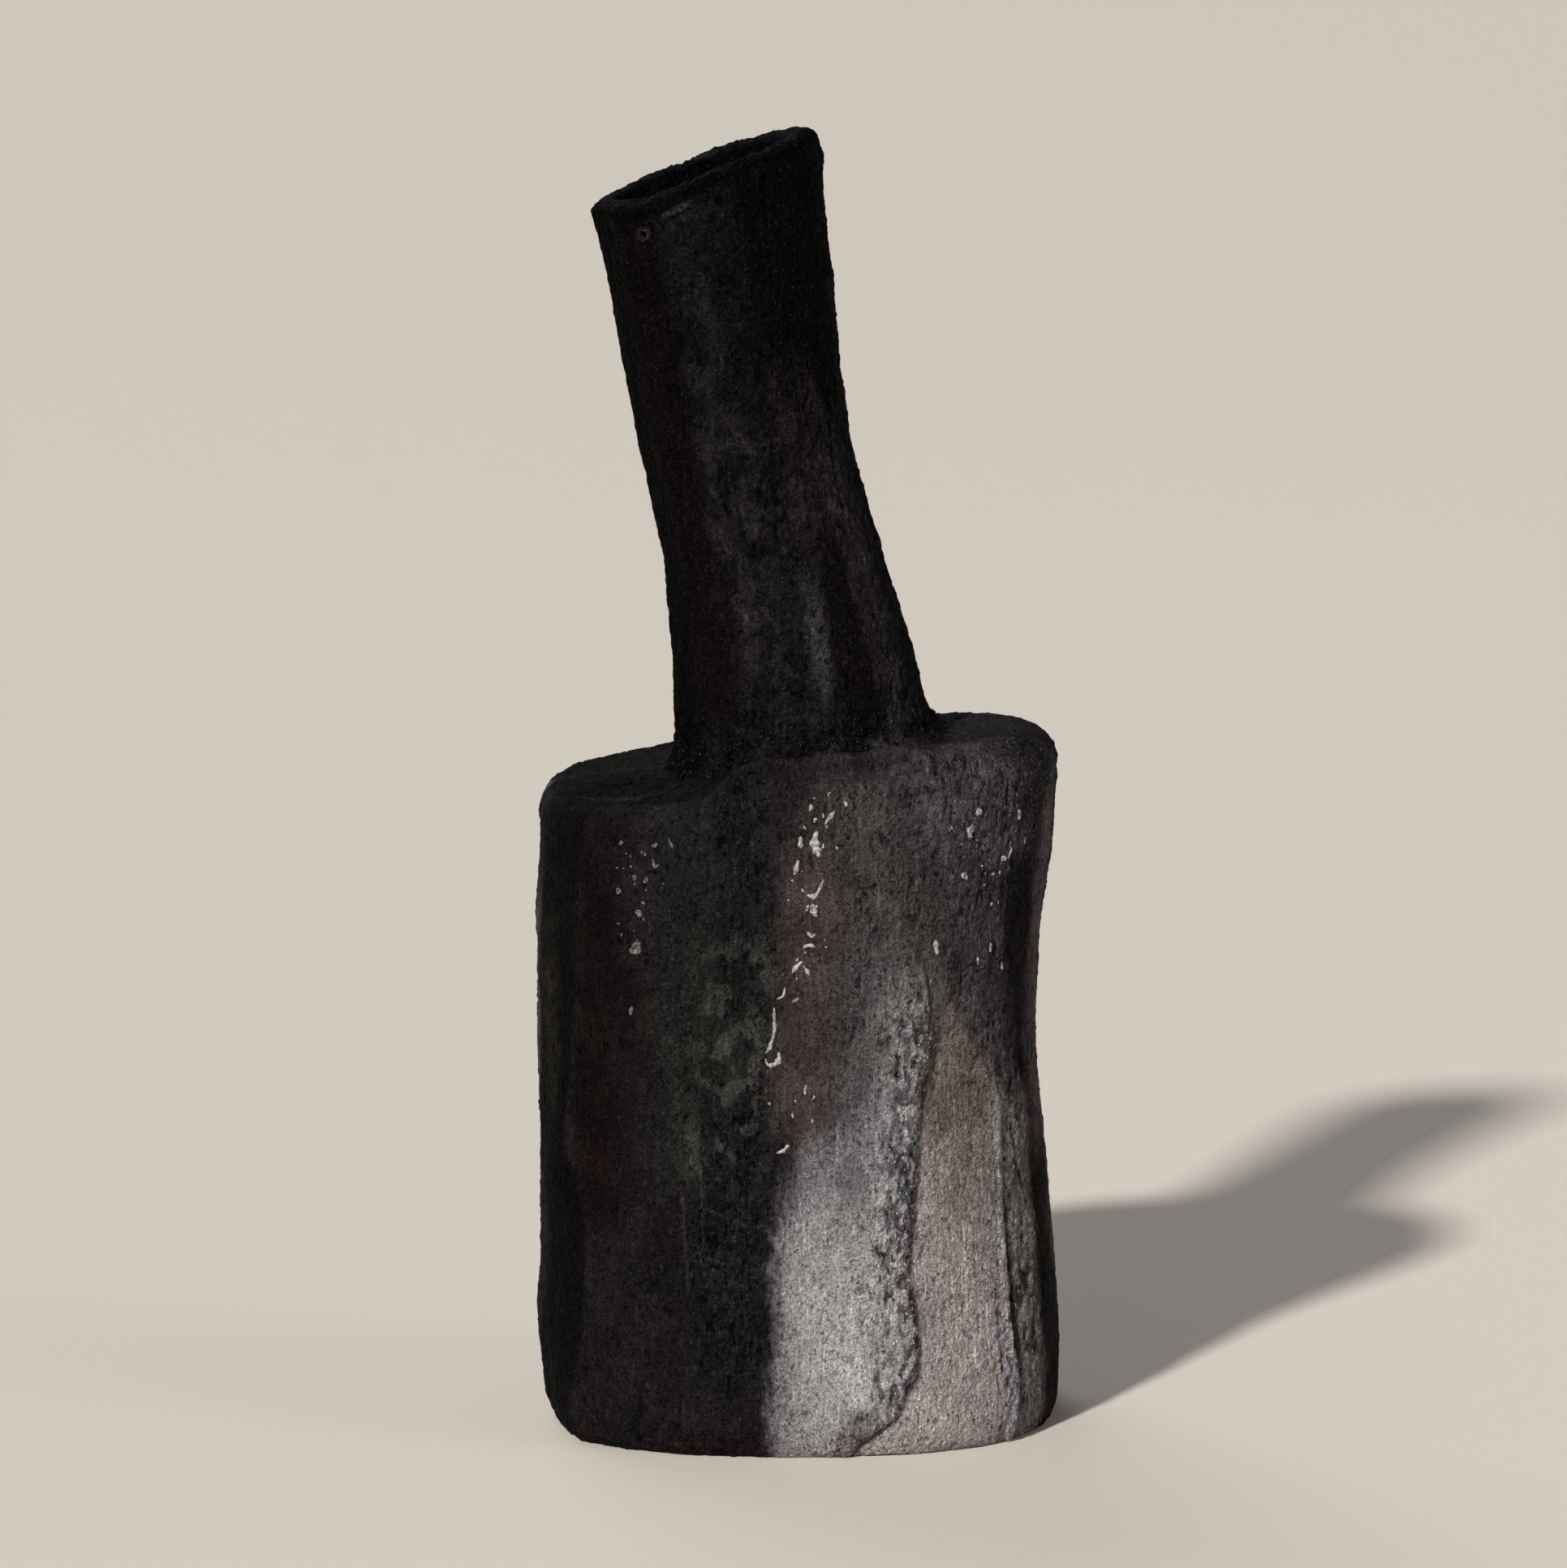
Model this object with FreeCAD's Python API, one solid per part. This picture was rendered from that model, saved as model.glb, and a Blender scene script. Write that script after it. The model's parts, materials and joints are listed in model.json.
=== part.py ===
"""A hand-built black clay bottle pot, as the separate pieces of clay that its potter joins.

The body is a rounded square tube of four wall slabs, scarfed at the corners. It stands on a base slab and
is closed by a tilted shoulder slab with a hole. A leaning neck of two courses and a rim coil stands over
the hole. Luting coils fill the joints: inside the base, the corners and the shoulder, and outside round
the foot of the neck. Dried beads of white slip stick to the upper wall.

Frame: +Z up, X to the pot's right, the front faces -Y, and the origin is the middle of the base.
Units are millimetres. Every piece goes to its own STEP in parts/.
"""
import FreeCAD, Part
import math
import os
from collections import namedtuple

# ---------------------------------------------------------------- driving dimensions
WALL = 7.0              # thickness of the body's wall slabs
NECK_WALL = 6.5         # thickness of the neck's courses
RIM_WALL = 7.5          # the rim coil is a little thicker than the neck
BASE_THICK = 8.0
SHOULDER_THICK = 8.0
SHOULDER_ROUND = 6.5    # how far the shoulder's edge rounds over, inwards
SHOULDER_ROUND_RIGHT = 11.0     # and on the softer, higher side
RIM_HEIGHT = 7.0
RING_POINTS = 32        # points that each cross-section's curve passes through
OVERRUN = 1.0           # how far a cutting solid runs past the faces that it cuts
SCARF_DEG = 35.0        # slant of the corner scarfs away from a straight butt joint
LUTE_LEG = 7.0          # the inside luting coils run this far along each face
CORNER_COIL_R = 4.5     # the coil pressed into each upright inside corner
FAR = 200.0             # a size well outside the pot, for cutting solids

# Corners of the body in plan, in degrees from +X towards +Y. The wall slabs meet there.
CORNERS = {"back_right": 38.0, "back_left": 143.0, "front_left": 217.0, "front_right": 320.0}

# One cross-section: centre x and z, tilt (its +X side is higher), then its reach to the left and right
# of the centre, its half depth, and nod, by which its front is lower.
Station = namedtuple("Station", "x z tilt left right depth nod")


def body_station(z, left, right, depth, tilt=0.0):
    return Station(0.0, z, tilt, left, right, depth, 0.0)


SHOULDER_TILT = 7.0
WALL_FOOT = body_station(BASE_THICK, 59.0, 60.8, 52.0)
WALL_HEAD = body_station(148.0, 60.2, 60.8, 50.8, SHOULDER_TILT)
BASE_STATIONS = [
    body_station(0.0, 54.6, 58.4, 49.5),
    body_station(0.8, 55.9, 59.5, 50.6),
    body_station(2.6, 57.2, 60.3, 51.4),
    body_station(5.2, 58.3, 60.7, 51.8),
    WALL_FOOT,
]
WALL_STATIONS = [
    WALL_FOOT,
    body_station(20.0, 60.4, 60.6, 52.0, 0.3),
    body_station(44.0, 59.8, 59.2, 51.2, 1.4),
    body_station(68.0, 60.3, 56.7, 50.2, 2.8),
    body_station(90.0, 60.6, 55.2, 49.8, 4.1),
    body_station(112.0, 60.8, 56.6, 50.4, 5.4),
    body_station(132.0, 60.8, 59.6, 51.0, 6.4),
    WALL_HEAD,
]
NECK_FOOT_X = 1.6
NECK_FOOT_Z = (
    WALL_HEAD.z
    + SHOULDER_THICK / math.cos(math.radians(SHOULDER_TILT))
    + NECK_FOOT_X * math.tan(math.radians(SHOULDER_TILT))
)
NECK_STATIONS = [
    Station(NECK_FOOT_X, NECK_FOOT_Z, SHOULDER_TILT, 30.4, 30.4, 27.5, 0.0),
    Station(-0.9, 175.0, 8.5, 28.6, 28.6, 25.8, 0.0),
    Station(-4.6, 195.0, 10.5, 26.2, 26.2, 24.2, 0.3),
    Station(-9.4, 216.0, 13.0, 24.4, 24.4, 22.8, 0.8),
    Station(-13.1, 235.0, 14.2, 24.9, 24.9, 22.8, 1.2),
    Station(-16.3, 255.0, 15.4, 25.8, 25.8, 23.2, 1.6),
    Station(-20.5, 285.3, 19.0, 27.8, 27.6, 24.4, 2.0),
]
NECK_SPLIT = 3          # the two neck courses meet at this station

# Beads and runs of white slip on the front wall: sideways place, height, width and length.
SLIP_BEADS = [
    (3.8, 138.0, 2.6, 6.0), (0.7, 138.0, 1.4, 2.2), (-0.7, 133.7, 1.4, 3.0), (3.5, 129.0, 2.8, 2.6),
    (2.9, 125.5, 2.4, 2.0), (2.4, 121.0, 2.2, 1.6), (2.6, 118.4, 2.0, 1.4), (-0.2, 113.4, 1.6, 2.6),
    (2.2, 112.0, 1.6, 2.0), (-0.4, 106.0, 1.4, 1.6), (-5.2, 108.0, 1.5, 11.0), (-5.7, 98.2, 1.5, 8.0),
    (-6.4, 92.2, 3.8, 3.6), (0.9, 85.0, 1.8, 2.6), (-3.5, 71.0, 2.0, 2.0), (-32.9, 137.4, 1.8, 3.0),
    (-34.6, 133.3, 2.0, 2.0), (-34.8, 128.0, 1.8, 1.8), (-36.4, 125.3, 1.6, 1.6), (-36.5, 117.0, 3.4, 3.0),
    (-38.2, 102.0, 1.6, 1.8), (39.4, 143.3, 2.6, 4.6), (37.9, 133.5, 2.0, 2.6), (31.7, 117.0, 2.4, 3.2),
    (40.7, 112.0, 1.6, 3.4),
]
BEAD_RISE = 0.3         # how far a bead stands out of the wall, as a share of its width
BEAD_SINK = 0.05        # the beads bite into the wall by this much


# ---------------------------------------------------------------- cross-sections and lofts
def squareness(angle, is_neck):
    """The superellipse exponent at this angle. The body is squarest at its front left corner."""
    if is_neck:
        return 2.15
    return 2.55 + 0.30 * math.cos(angle - math.radians(CORNERS["front_left"]))


def ring_point(station, angle, inset=0.0, is_neck=False):
    """The point of a cross-section in this direction, moved inwards by inset."""
    across, along = math.cos(angle), math.sin(angle)
    half_width = (station.right if across >= 0 else station.left) - inset
    half_depth = station.depth - inset
    power = squareness(angle, is_neck)
    reach = (abs(across) / half_width) ** power + (abs(along) / half_depth) ** power
    radius = reach ** (-1.0 / power)
    u, v = radius * across, radius * along
    tilt, nod = math.radians(station.tilt), math.radians(station.nod)
    return FreeCAD.Vector(
        station.x + u * math.cos(tilt),
        v * math.cos(nod),
        station.z + u * math.sin(tilt) + v * math.sin(nod),
    )


def ring(station, inset=0.0, is_neck=False):
    """The closed curve of a cross-section."""
    step = 2 * math.pi / RING_POINTS
    points = [ring_point(station, k * step, inset, is_neck) for k in range(RING_POINTS)]
    curve = Part.BSplineCurve()
    curve.interpolate(Points=points, PeriodicFlag=True)
    return Part.Wire(curve.toShape())


def raised(station, height):
    """The same cross-section, moved square to its own plane."""
    tilt = math.radians(station.tilt)
    return station._replace(x=station.x - height * math.sin(tilt), z=station.z + height * math.cos(tilt))


def loft(stations, insets=None, is_neck=False):
    """A solid through the cross-sections, each moved in by its own inset."""
    insets = insets or [0.0] * len(stations)
    wires = [ring(s, inset, is_neck) for s, inset in zip(stations, insets)]
    return Part.makeLoft(wires, True, False)


def bore(stations, inset, is_neck=False):
    """The hollow inside a tube of cross-sections, running a little past both of its ends."""
    through = [raised(stations[0], -OVERRUN), *stations[1:-1], raised(stations[-1], OVERRUN)]
    return loft(through, [inset] * len(through), is_neck)


def below(station):
    """Everything under a cross-section's plane."""
    block = Part.makeBox(2 * FAR, 2 * FAR, 2 * FAR, FreeCAD.Vector(-FAR, -FAR, -2 * FAR))
    block.rotate(FreeCAD.Vector(), FreeCAD.Vector(0, 1, 0), -station.tilt)
    block.translate(FreeCAD.Vector(station.x, 0, station.z))
    return block


# ---------------------------------------------------------------- body
def base_slab():
    return loft(BASE_STATIONS)


def wall_shell():
    """The whole wall as one tube, before it is cut into slabs."""
    return loft(WALL_STATIONS).cut(bore(WALL_STATIONS, WALL))


def scarf_line(corner_deg):
    """The inner and outer end of the slanted cut through the wall at a corner, in plan."""
    angle = math.radians(corner_deg)
    middle = ring_point(WALL_STATIONS[4], angle, WALL / 2)
    slant = angle + math.radians(SCARF_DEG)
    along = FreeCAD.Vector(math.cos(slant), math.sin(slant), 0) * 2 * WALL
    flat = FreeCAD.Vector(middle.x, middle.y, 0)
    return flat - along, flat + along


def sector(first_deg, last_deg):
    """The space of one wall slab: between two scarf cuts, from the middle to well outside the pot."""
    inner_a, outer_a = scarf_line(first_deg)
    inner_b, outer_b = scarf_line(last_deg)
    span = (last_deg - first_deg) % 360
    outside = [math.radians(first_deg + span * share) for share in (0.08, 0.5, 0.92)]
    corners = [FreeCAD.Vector(FAR * math.cos(a), FAR * math.sin(a), 0) for a in outside]
    path = [FreeCAD.Vector(), inner_a, outer_a, *corners, outer_b, inner_b, FreeCAD.Vector()]
    face = Part.Face(Part.makePolygon(path))
    return face.extrude(FreeCAD.Vector(0, 0, FAR))


def wall_slabs():
    """The four slabs, each from one corner of the body to the next."""
    shell = wall_shell()
    ends = {
        "wall_slab_front": ("front_left", "front_right"),
        "wall_slab_right": ("front_right", "back_right"),
        "wall_slab_back": ("back_right", "back_left"),
        "wall_slab_left": ("back_left", "front_left"),
    }
    return {name: shell.common(sector(CORNERS[a], CORNERS[b])) for name, (a, b) in ends.items()}


def shoulder_slab():
    """The tilted top of the body, rounded over at its edge, with the hole under the neck."""
    levels = []
    for share in (0.0, 0.3, 0.58, 0.8, 0.93, 1.0):
        pull = 1 - math.sqrt(1 - share * share)
        rounded = WALL_HEAD._replace(
            left=WALL_HEAD.left - pull * SHOULDER_ROUND,
            right=WALL_HEAD.right - pull * SHOULDER_ROUND_RIGHT,
            depth=WALL_HEAD.depth - pull * SHOULDER_ROUND,
        )
        levels.append(raised(rounded, share * SHOULDER_THICK))
    neck_foot = NECK_STATIONS[0]
    hole = [raised(neck_foot, -SHOULDER_THICK - OVERRUN), raised(neck_foot, OVERRUN)]
    return loft(levels).cut(loft(hole, [NECK_WALL, NECK_WALL], is_neck=True))


# ---------------------------------------------------------------- luting coils inside the body
def lute_coil(station, direction, hollow):
    """A concave fillet inside the wall, against the plane of a station and up or down from it."""
    legs = ((0.0, LUTE_LEG), (0.35, 0.45 * LUTE_LEG), (1.0, 0.08 * LUTE_LEG))
    edge = raised(station, direction * LUTE_LEG)
    slice_of_hollow = hollow.common(below(max(station, edge, key=lambda s: s.z)))
    slice_of_hollow = slice_of_hollow.cut(below(min(station, edge, key=lambda s: s.z)))
    levels = [raised(station, direction * share * LUTE_LEG) for share, _ in legs]
    insets = [WALL + leg for _, leg in legs]
    levels = [raised(station, -direction * OVERRUN), *levels, raised(edge, direction * OVERRUN)]
    insets = [insets[0] + OVERRUN, *insets, insets[-1]]
    return slice_of_hollow.cut(loft(levels, insets))


def corner_coil(corner_deg, hollow, other_coils):
    """A round coil pressed into one upright corner of the hollow."""
    angle = math.radians(corner_deg)
    rings = []
    for station in WALL_STATIONS:
        centre = ring_point(station, angle, WALL)
        rings.append(Part.Wire(Part.makeCircle(CORNER_COIL_R, centre, FreeCAD.Vector(0, 0, 1))))
    coil = Part.makeLoft(rings, True, False).common(hollow)
    coil = coil.common(below(WALL_HEAD)).cut(below(WALL_FOOT))
    for other in other_coils:
        coil = coil.cut(other)
    return largest(coil)


def largest(shape):
    """The biggest solid of a cut, without any sliver beside it."""
    return max(shape.Solids, key=lambda solid: solid.Volume)


# ---------------------------------------------------------------- neck
def neck_course(first, last):
    """One course of the neck, between two of its stations."""
    levels = NECK_STATIONS[first:last + 1]
    return loft(levels, is_neck=True).cut(bore(levels, NECK_WALL, is_neck=True))


def neck_collar():
    """The luting coil worked into the joint between the shoulder and the neck, outside."""
    foot = NECK_STATIONS[0]
    profile = ((0.0, -5.0), (0.8, -3.6), (2.4, -1.8), (4.6, -0.6), (6.0, -0.2))
    levels = [raised(foot, height) for height, _ in profile]
    outside = loft(levels, [inset for _, inset in profile], is_neck=True)
    return outside.cut(loft(NECK_STATIONS[:NECK_SPLIT + 1], is_neck=True))


def rim_coil():
    """The rounded lip of the mouth."""
    foot = NECK_STATIONS[-1]
    shares = (0.0, 0.35, 0.65, 0.88, 1.0)
    outer_insets = (0.0, -0.3, 0.2, 1.2, 2.8)
    inner_insets = (NECK_WALL, RIM_WALL, RIM_WALL, RIM_WALL - 0.6, RIM_WALL - 2.2)
    levels = [raised(foot, share * RIM_HEIGHT) for share in shares]
    outside = loft(levels, outer_insets, is_neck=True)
    through = [raised(foot, -OVERRUN), *levels, raised(levels[-1], OVERRUN)]
    hollow = loft(through, [NECK_WALL, *inner_insets, inner_insets[-1] - 1.0], is_neck=True)
    return outside.cut(hollow)


# ---------------------------------------------------------------- slip beads
def wall_front(body, x, z):
    """The y of the body's front at this place."""
    probe = Part.makeLine(FreeCAD.Vector(x, -FAR, z), FreeCAD.Vector(x, 0, z))
    return body.common(probe).BoundBox.YMin


def slip_bead(x, z, width, length, body):
    """A flat drop of slip: half of an egg shape whose flat side lies on the wall."""
    turn = math.degrees(math.atan2(wall_front(body, x + 1, z) - wall_front(body, x - 1, z), 2))
    lean = math.degrees(math.atan2(wall_front(body, x, z + 1) - wall_front(body, x, z - 1), 2))
    ball = Part.makeSphere(1.0)
    half_ball = ball.cut(Part.makeBox(FAR, FAR, FAR, FreeCAD.Vector(-FAR / 2, 0, -FAR / 2)))
    sizes = FreeCAD.Matrix()
    sizes.scale(width / 2, BEAD_RISE * width, length / 2)
    bead = half_ball.transformGeometry(sizes)
    bead.rotate(FreeCAD.Vector(), FreeCAD.Vector(1, 0, 0), -lean)
    bead.rotate(FreeCAD.Vector(), FreeCAD.Vector(0, 0, 1), turn)
    bead.translate(FreeCAD.Vector(x, wall_front(body, x, z) + BEAD_SINK, z))
    return bead


def slip_beads():
    body = loft(WALL_STATIONS)
    return Part.makeCompound([slip_bead(*bead, body) for bead in SLIP_BEADS])


# ---------------------------------------------------------------- the whole pot
def pieces():
    hollow = bore(WALL_STATIONS, WALL)
    base_coil = lute_coil(WALL_FOOT, 1, hollow)
    shoulder_coil = lute_coil(WALL_HEAD, -1, hollow)
    made = {"base_slab": base_slab(), "base_luting_coil": base_coil, **wall_slabs()}
    for name, corner in CORNERS.items():
        made["corner_coil_" + name] = corner_coil(corner, hollow, [base_coil, shoulder_coil])
    made["shoulder_luting_coil"] = shoulder_coil
    made["shoulder_slab"] = shoulder_slab()
    made["neck_collar_coil"] = neck_collar()
    made["neck_lower_course"] = neck_course(0, NECK_SPLIT)
    made["neck_upper_course"] = neck_course(NECK_SPLIT, len(NECK_STATIONS) - 1)
    made["rim_coil"] = rim_coil()
    made["slip_beads"] = slip_beads()
    return made


os.makedirs("parts", exist_ok=True)
for piece_name, shape in pieces().items():
    shape.exportStep(f"parts/{piece_name}.step")
    box = shape.BoundBox
    print(
        f"{piece_name:26s} solids {len(shape.Solids)} valid {shape.isValid()} "
        f"volume {shape.Volume / 1000:8.2f} cm3  x {box.XMin:.1f}..{box.XMax:.1f}  "
        f"y {box.YMin:.1f}..{box.YMax:.1f}  z {box.ZMin:.1f}..{box.ZMax:.1f}"
    )
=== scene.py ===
import json
import math
from collections import namedtuple

import bmesh
import bpy
import numpy as np
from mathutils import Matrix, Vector


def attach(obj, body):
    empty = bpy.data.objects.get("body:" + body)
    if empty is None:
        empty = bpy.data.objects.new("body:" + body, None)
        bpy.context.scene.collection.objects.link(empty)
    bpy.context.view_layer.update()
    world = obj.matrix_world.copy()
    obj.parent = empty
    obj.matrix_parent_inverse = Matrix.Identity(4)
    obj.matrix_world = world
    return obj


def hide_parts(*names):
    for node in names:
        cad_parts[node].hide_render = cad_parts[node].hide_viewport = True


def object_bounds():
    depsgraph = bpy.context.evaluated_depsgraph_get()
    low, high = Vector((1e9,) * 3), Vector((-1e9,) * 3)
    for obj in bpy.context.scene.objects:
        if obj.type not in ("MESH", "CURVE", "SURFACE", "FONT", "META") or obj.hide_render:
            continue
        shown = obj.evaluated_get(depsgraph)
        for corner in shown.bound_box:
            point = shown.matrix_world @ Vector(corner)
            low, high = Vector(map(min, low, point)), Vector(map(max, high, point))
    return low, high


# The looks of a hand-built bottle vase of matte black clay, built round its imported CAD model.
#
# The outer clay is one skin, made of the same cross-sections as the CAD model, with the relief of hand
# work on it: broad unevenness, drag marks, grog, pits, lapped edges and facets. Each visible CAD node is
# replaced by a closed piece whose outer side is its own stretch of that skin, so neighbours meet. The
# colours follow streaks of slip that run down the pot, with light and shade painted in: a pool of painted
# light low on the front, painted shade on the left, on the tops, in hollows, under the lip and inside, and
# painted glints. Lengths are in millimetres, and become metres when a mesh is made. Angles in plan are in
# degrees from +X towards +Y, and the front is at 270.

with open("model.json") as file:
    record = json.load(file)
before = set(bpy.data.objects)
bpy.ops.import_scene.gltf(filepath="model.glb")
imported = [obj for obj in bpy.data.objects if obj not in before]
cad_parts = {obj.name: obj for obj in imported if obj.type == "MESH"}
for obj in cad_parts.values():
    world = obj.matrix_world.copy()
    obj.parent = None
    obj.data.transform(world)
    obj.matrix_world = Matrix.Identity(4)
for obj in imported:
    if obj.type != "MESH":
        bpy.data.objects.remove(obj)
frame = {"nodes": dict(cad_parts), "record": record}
cad_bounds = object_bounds()

MM = 0.001
SEED = 7

# ---------------------------------------------------------------- the CAD model's cross-sections
WALL = 7.0
NECK_WALL = 6.5
RIM_WALL = 7.5
BASE_THICK = 8.0
SHOULDER_THICK = 8.0
SHOULDER_TILT = 7.0
SHOULDER_ROUND = 6.5
SHOULDER_ROUND_RIGHT = 11.0
RIM_HEIGHT = 7.0
CORNERS = {"back_right": 38.0, "back_left": 143.0, "front_left": 217.0, "front_right": 320.0}
SCARF_HALF_DEG = 2.5    # the outer end of a corner's slanted joint is this far round from its middle
BODY_POWER, CORNER_POWER, NECK_POWER = 2.55, 0.30, 2.15

# A cross-section: its centre, its tilt, its reach each way, its nod, and 0 for body or 1 for neck.
Ring = namedtuple("Ring", "x z tilt left right depth nod neck")
REACHES = slice(3, 6)   # the columns for left, right and depth


def body_ring(z, left, right, depth, tilt=0.0):
    return Ring(0.0, z, tilt, left, right, depth, 0.0, 0.0)


def neck_ring(x, z, tilt, left, right, depth, nod=0.0):
    return Ring(x, z, tilt, left, right, depth, nod, 1.0)


WALL_FOOT = body_ring(BASE_THICK, 59.0, 60.8, 52.0)
WALL_HEAD = body_ring(148.0, 60.2, 60.8, 50.8, SHOULDER_TILT)
FOOT_RINGS = [
    body_ring(0.0, 54.6, 58.4, 49.5),
    body_ring(0.8, 55.9, 59.5, 50.6),
    body_ring(2.6, 57.2, 60.3, 51.4),
    body_ring(5.2, 58.3, 60.7, 51.8),
    WALL_FOOT,
]
WALL_RINGS = [
    WALL_FOOT,
    body_ring(20.0, 60.4, 60.6, 52.0, 0.3),
    body_ring(44.0, 59.8, 59.2, 51.2, 1.4),
    body_ring(68.0, 60.3, 56.7, 50.2, 2.8),
    body_ring(90.0, 60.6, 55.2, 49.8, 4.1),
    body_ring(112.0, 60.8, 56.6, 50.4, 5.4),
    body_ring(132.0, 60.8, 59.6, 51.0, 6.4),
    WALL_HEAD,
]
MIDDLE_RING = WALL_RINGS[4]
NECK_FOOT_X = 1.6
SLOPE = math.tan(math.radians(SHOULDER_TILT))
NECK_FOOT_Z = WALL_HEAD.z + SHOULDER_THICK / math.cos(math.radians(SHOULDER_TILT)) + NECK_FOOT_X * SLOPE
NECK_RINGS = [
    neck_ring(NECK_FOOT_X, NECK_FOOT_Z, SHOULDER_TILT, 30.4, 30.4, 27.5),
    neck_ring(-0.9, 175.0, 8.5, 28.6, 28.6, 25.8),
    neck_ring(-4.6, 195.0, 10.5, 26.2, 26.2, 24.2, 0.3),
    neck_ring(-9.4, 216.0, 13.0, 24.4, 24.4, 22.8, 0.8),
    neck_ring(-13.1, 235.0, 14.2, 24.9, 24.9, 22.8, 1.2),
    neck_ring(-16.3, 255.0, 15.4, 25.8, 25.8, 23.2, 1.6),
    neck_ring(-20.5, 285.3, 19.0, 27.8, 27.6, 24.4, 2.0),
]
NECK_FOOT, NECK_TOP = NECK_RINGS[0], NECK_RINGS[-1]
NECK_SPLIT_Z = NECK_RINGS[3].z
COLLAR_HEIGHT = 6.0
COLLAR_REACH = 5.0
CREST_HEIGHT = 2.9

# ---------------------------------------------------------------- marks on the clay
# Lines down the wall as (height, sideways place) pairs, read from the foot upwards.
LAP_LINE = ((-2, 12), (3, 15), (9, 23.4), (18, 27.6), (25, 28.6), (44, 26.1), (65, 27), (79, 27.9),
            (94, 30.7), (108, 29), (124, 27))
SEAM_LINE = ((-2, 51), (14, 52), (30, 49.7), (41, 48.7), (60, 46.8), (80, 46.4), (94, 40.3), (109, 33.5),
             (126, 31))
GLAZE_LINE = ((60, -18), (120, -13))
LEFT_EDGE_LINE = ((-2, -50), (15, -50), (27, -47.6), (50, -47.2), (72, -52), (110, -50.4), (147, -47.8))
# How far the shoulder's front edge is lifted (+) or pressed down (-), from left to right.
SHOULDER_LIFT = ((-60, 0), (-45, -1.0), (-24, -1.6), (-19, 0), (-14, 3.8), (-8, 5.2), (5, 5.0), (21, 4.2),
                 (34, 1.0), (46, -1.5), (60, 0))

# ---------------------------------------------------------------- colours, linear
CHARCOAL = (0.0068, 0.0066, 0.0071)
# Near black, used for painted shade.
SHADE_BLACK = (0.0013, 0.0014, 0.001)
MAUVE = (0.0078, 0.0064, 0.0068)
DARK_PLUM = (0.0046, 0.0028, 0.0028)
PLUM = (0.04, 0.0305, 0.0312)
GREEN_GREY = (0.0122, 0.0122, 0.0112)
STONE_GREY = (0.05, 0.0475, 0.0468)
# Dim and pale silver are the clay's grey brightened as painted light.
DIM_LIT_SILVER = (0.092, 0.088, 0.092)
SILVER = (0.165, 0.16, 0.165)
PALE_LIT_SILVER = (0.292, 0.284, 0.291)
BAND_GREY = (0.23, 0.224, 0.231)
OCHRE = (0.106, 0.091, 0.08)
# The warm grey below is the tan brightened as painted light.
LIT_WARM_GREY = (0.235, 0.216, 0.209)
PINK_GREY = (0.178, 0.156, 0.162)
FOOT_BROWN = (0.085, 0.073, 0.065)
GLAZE_GREY = (0.03, 0.0305, 0.028)
WET_GREY = (0.15, 0.141, 0.137)
LILAC = (0.052, 0.043, 0.052)
LILAC_WHITE = (0.145, 0.137, 0.162)
RAW_CLAY = (0.022, 0.02, 0.021)
THIN_SLIP, THICK_SLIP = (0.09, 0.087, 0.089), (0.4, 0.385, 0.385)
# The pale grey of crystal specks, painted as glints.
CRYSTAL_GLINT_GREY = (0.38, 0.38, 0.4)
FLOOR_COLOUR = (0.56, 0.52, 0.46)

# How much the tones are changed: on flecks of dust; by painted shade on the neck, more near its mouth and
# most on the lip's crown; on the back of the body and of the neck, which the front view doesn't show, made
# paler out of the front's painted shade; and by painted shade inside.
FLECK_GAIN, FLECK_LIFT = 1.9, 0.003
NECK_SHADE, MOUTH_SHADE, CROWN_SHADE = 0.62, 0.70, 0.22
BACK_GAIN, NECK_BACK_GAIN = 1.5, 2.2
INSIDE_SHADE = 0.22


# ---------------------------------------------------------------- repeatable noise
def hashed(cell, seed):
    """A repeatable number from 0 to 1 for each cell of a lattice."""
    mask = np.int64(0xFFFFFFFF)
    mixed = (cell[..., 0] * 73856093) ^ (cell[..., 1] * 19349663) ^ (cell[..., 2] * 83492791)
    mixed = (mixed ^ np.int64(seed * 2654435 + 97)) & mask
    mixed = ((mixed ^ (mixed >> 15)) * 739982445) & mask
    mixed = ((mixed ^ (mixed >> 13)) * 695872825) & mask
    return ((mixed ^ (mixed >> 16)) & 0xFFFFF) / float(0xFFFFF)


def noise(points, size, seed, stretch=1.0):
    """Gradient noise, about -1 to 1, with features of this size in mm, stretched upwards."""
    scaled = points / (np.array([1, 1, stretch]) * size)
    cell = np.floor(scaled).astype(np.int64)
    part = scaled - cell
    ease = part * part * part * (part * (part * 6 - 15) + 10)
    total = np.zeros(points.shape[:-1])
    for corner in range(8):
        step = np.array([corner & 1, corner >> 1 & 1, corner >> 2 & 1])
        at = cell + step
        gradient = [hashed(at, seed * 3 + k) * 2 - 1 for k in range(3)]
        weight = np.prod(np.where(step == 1, ease, 1 - ease), axis=-1)
        total += weight * sum(g * (part - step)[..., k] for k, g in enumerate(gradient))
    return total * 1.6


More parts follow.
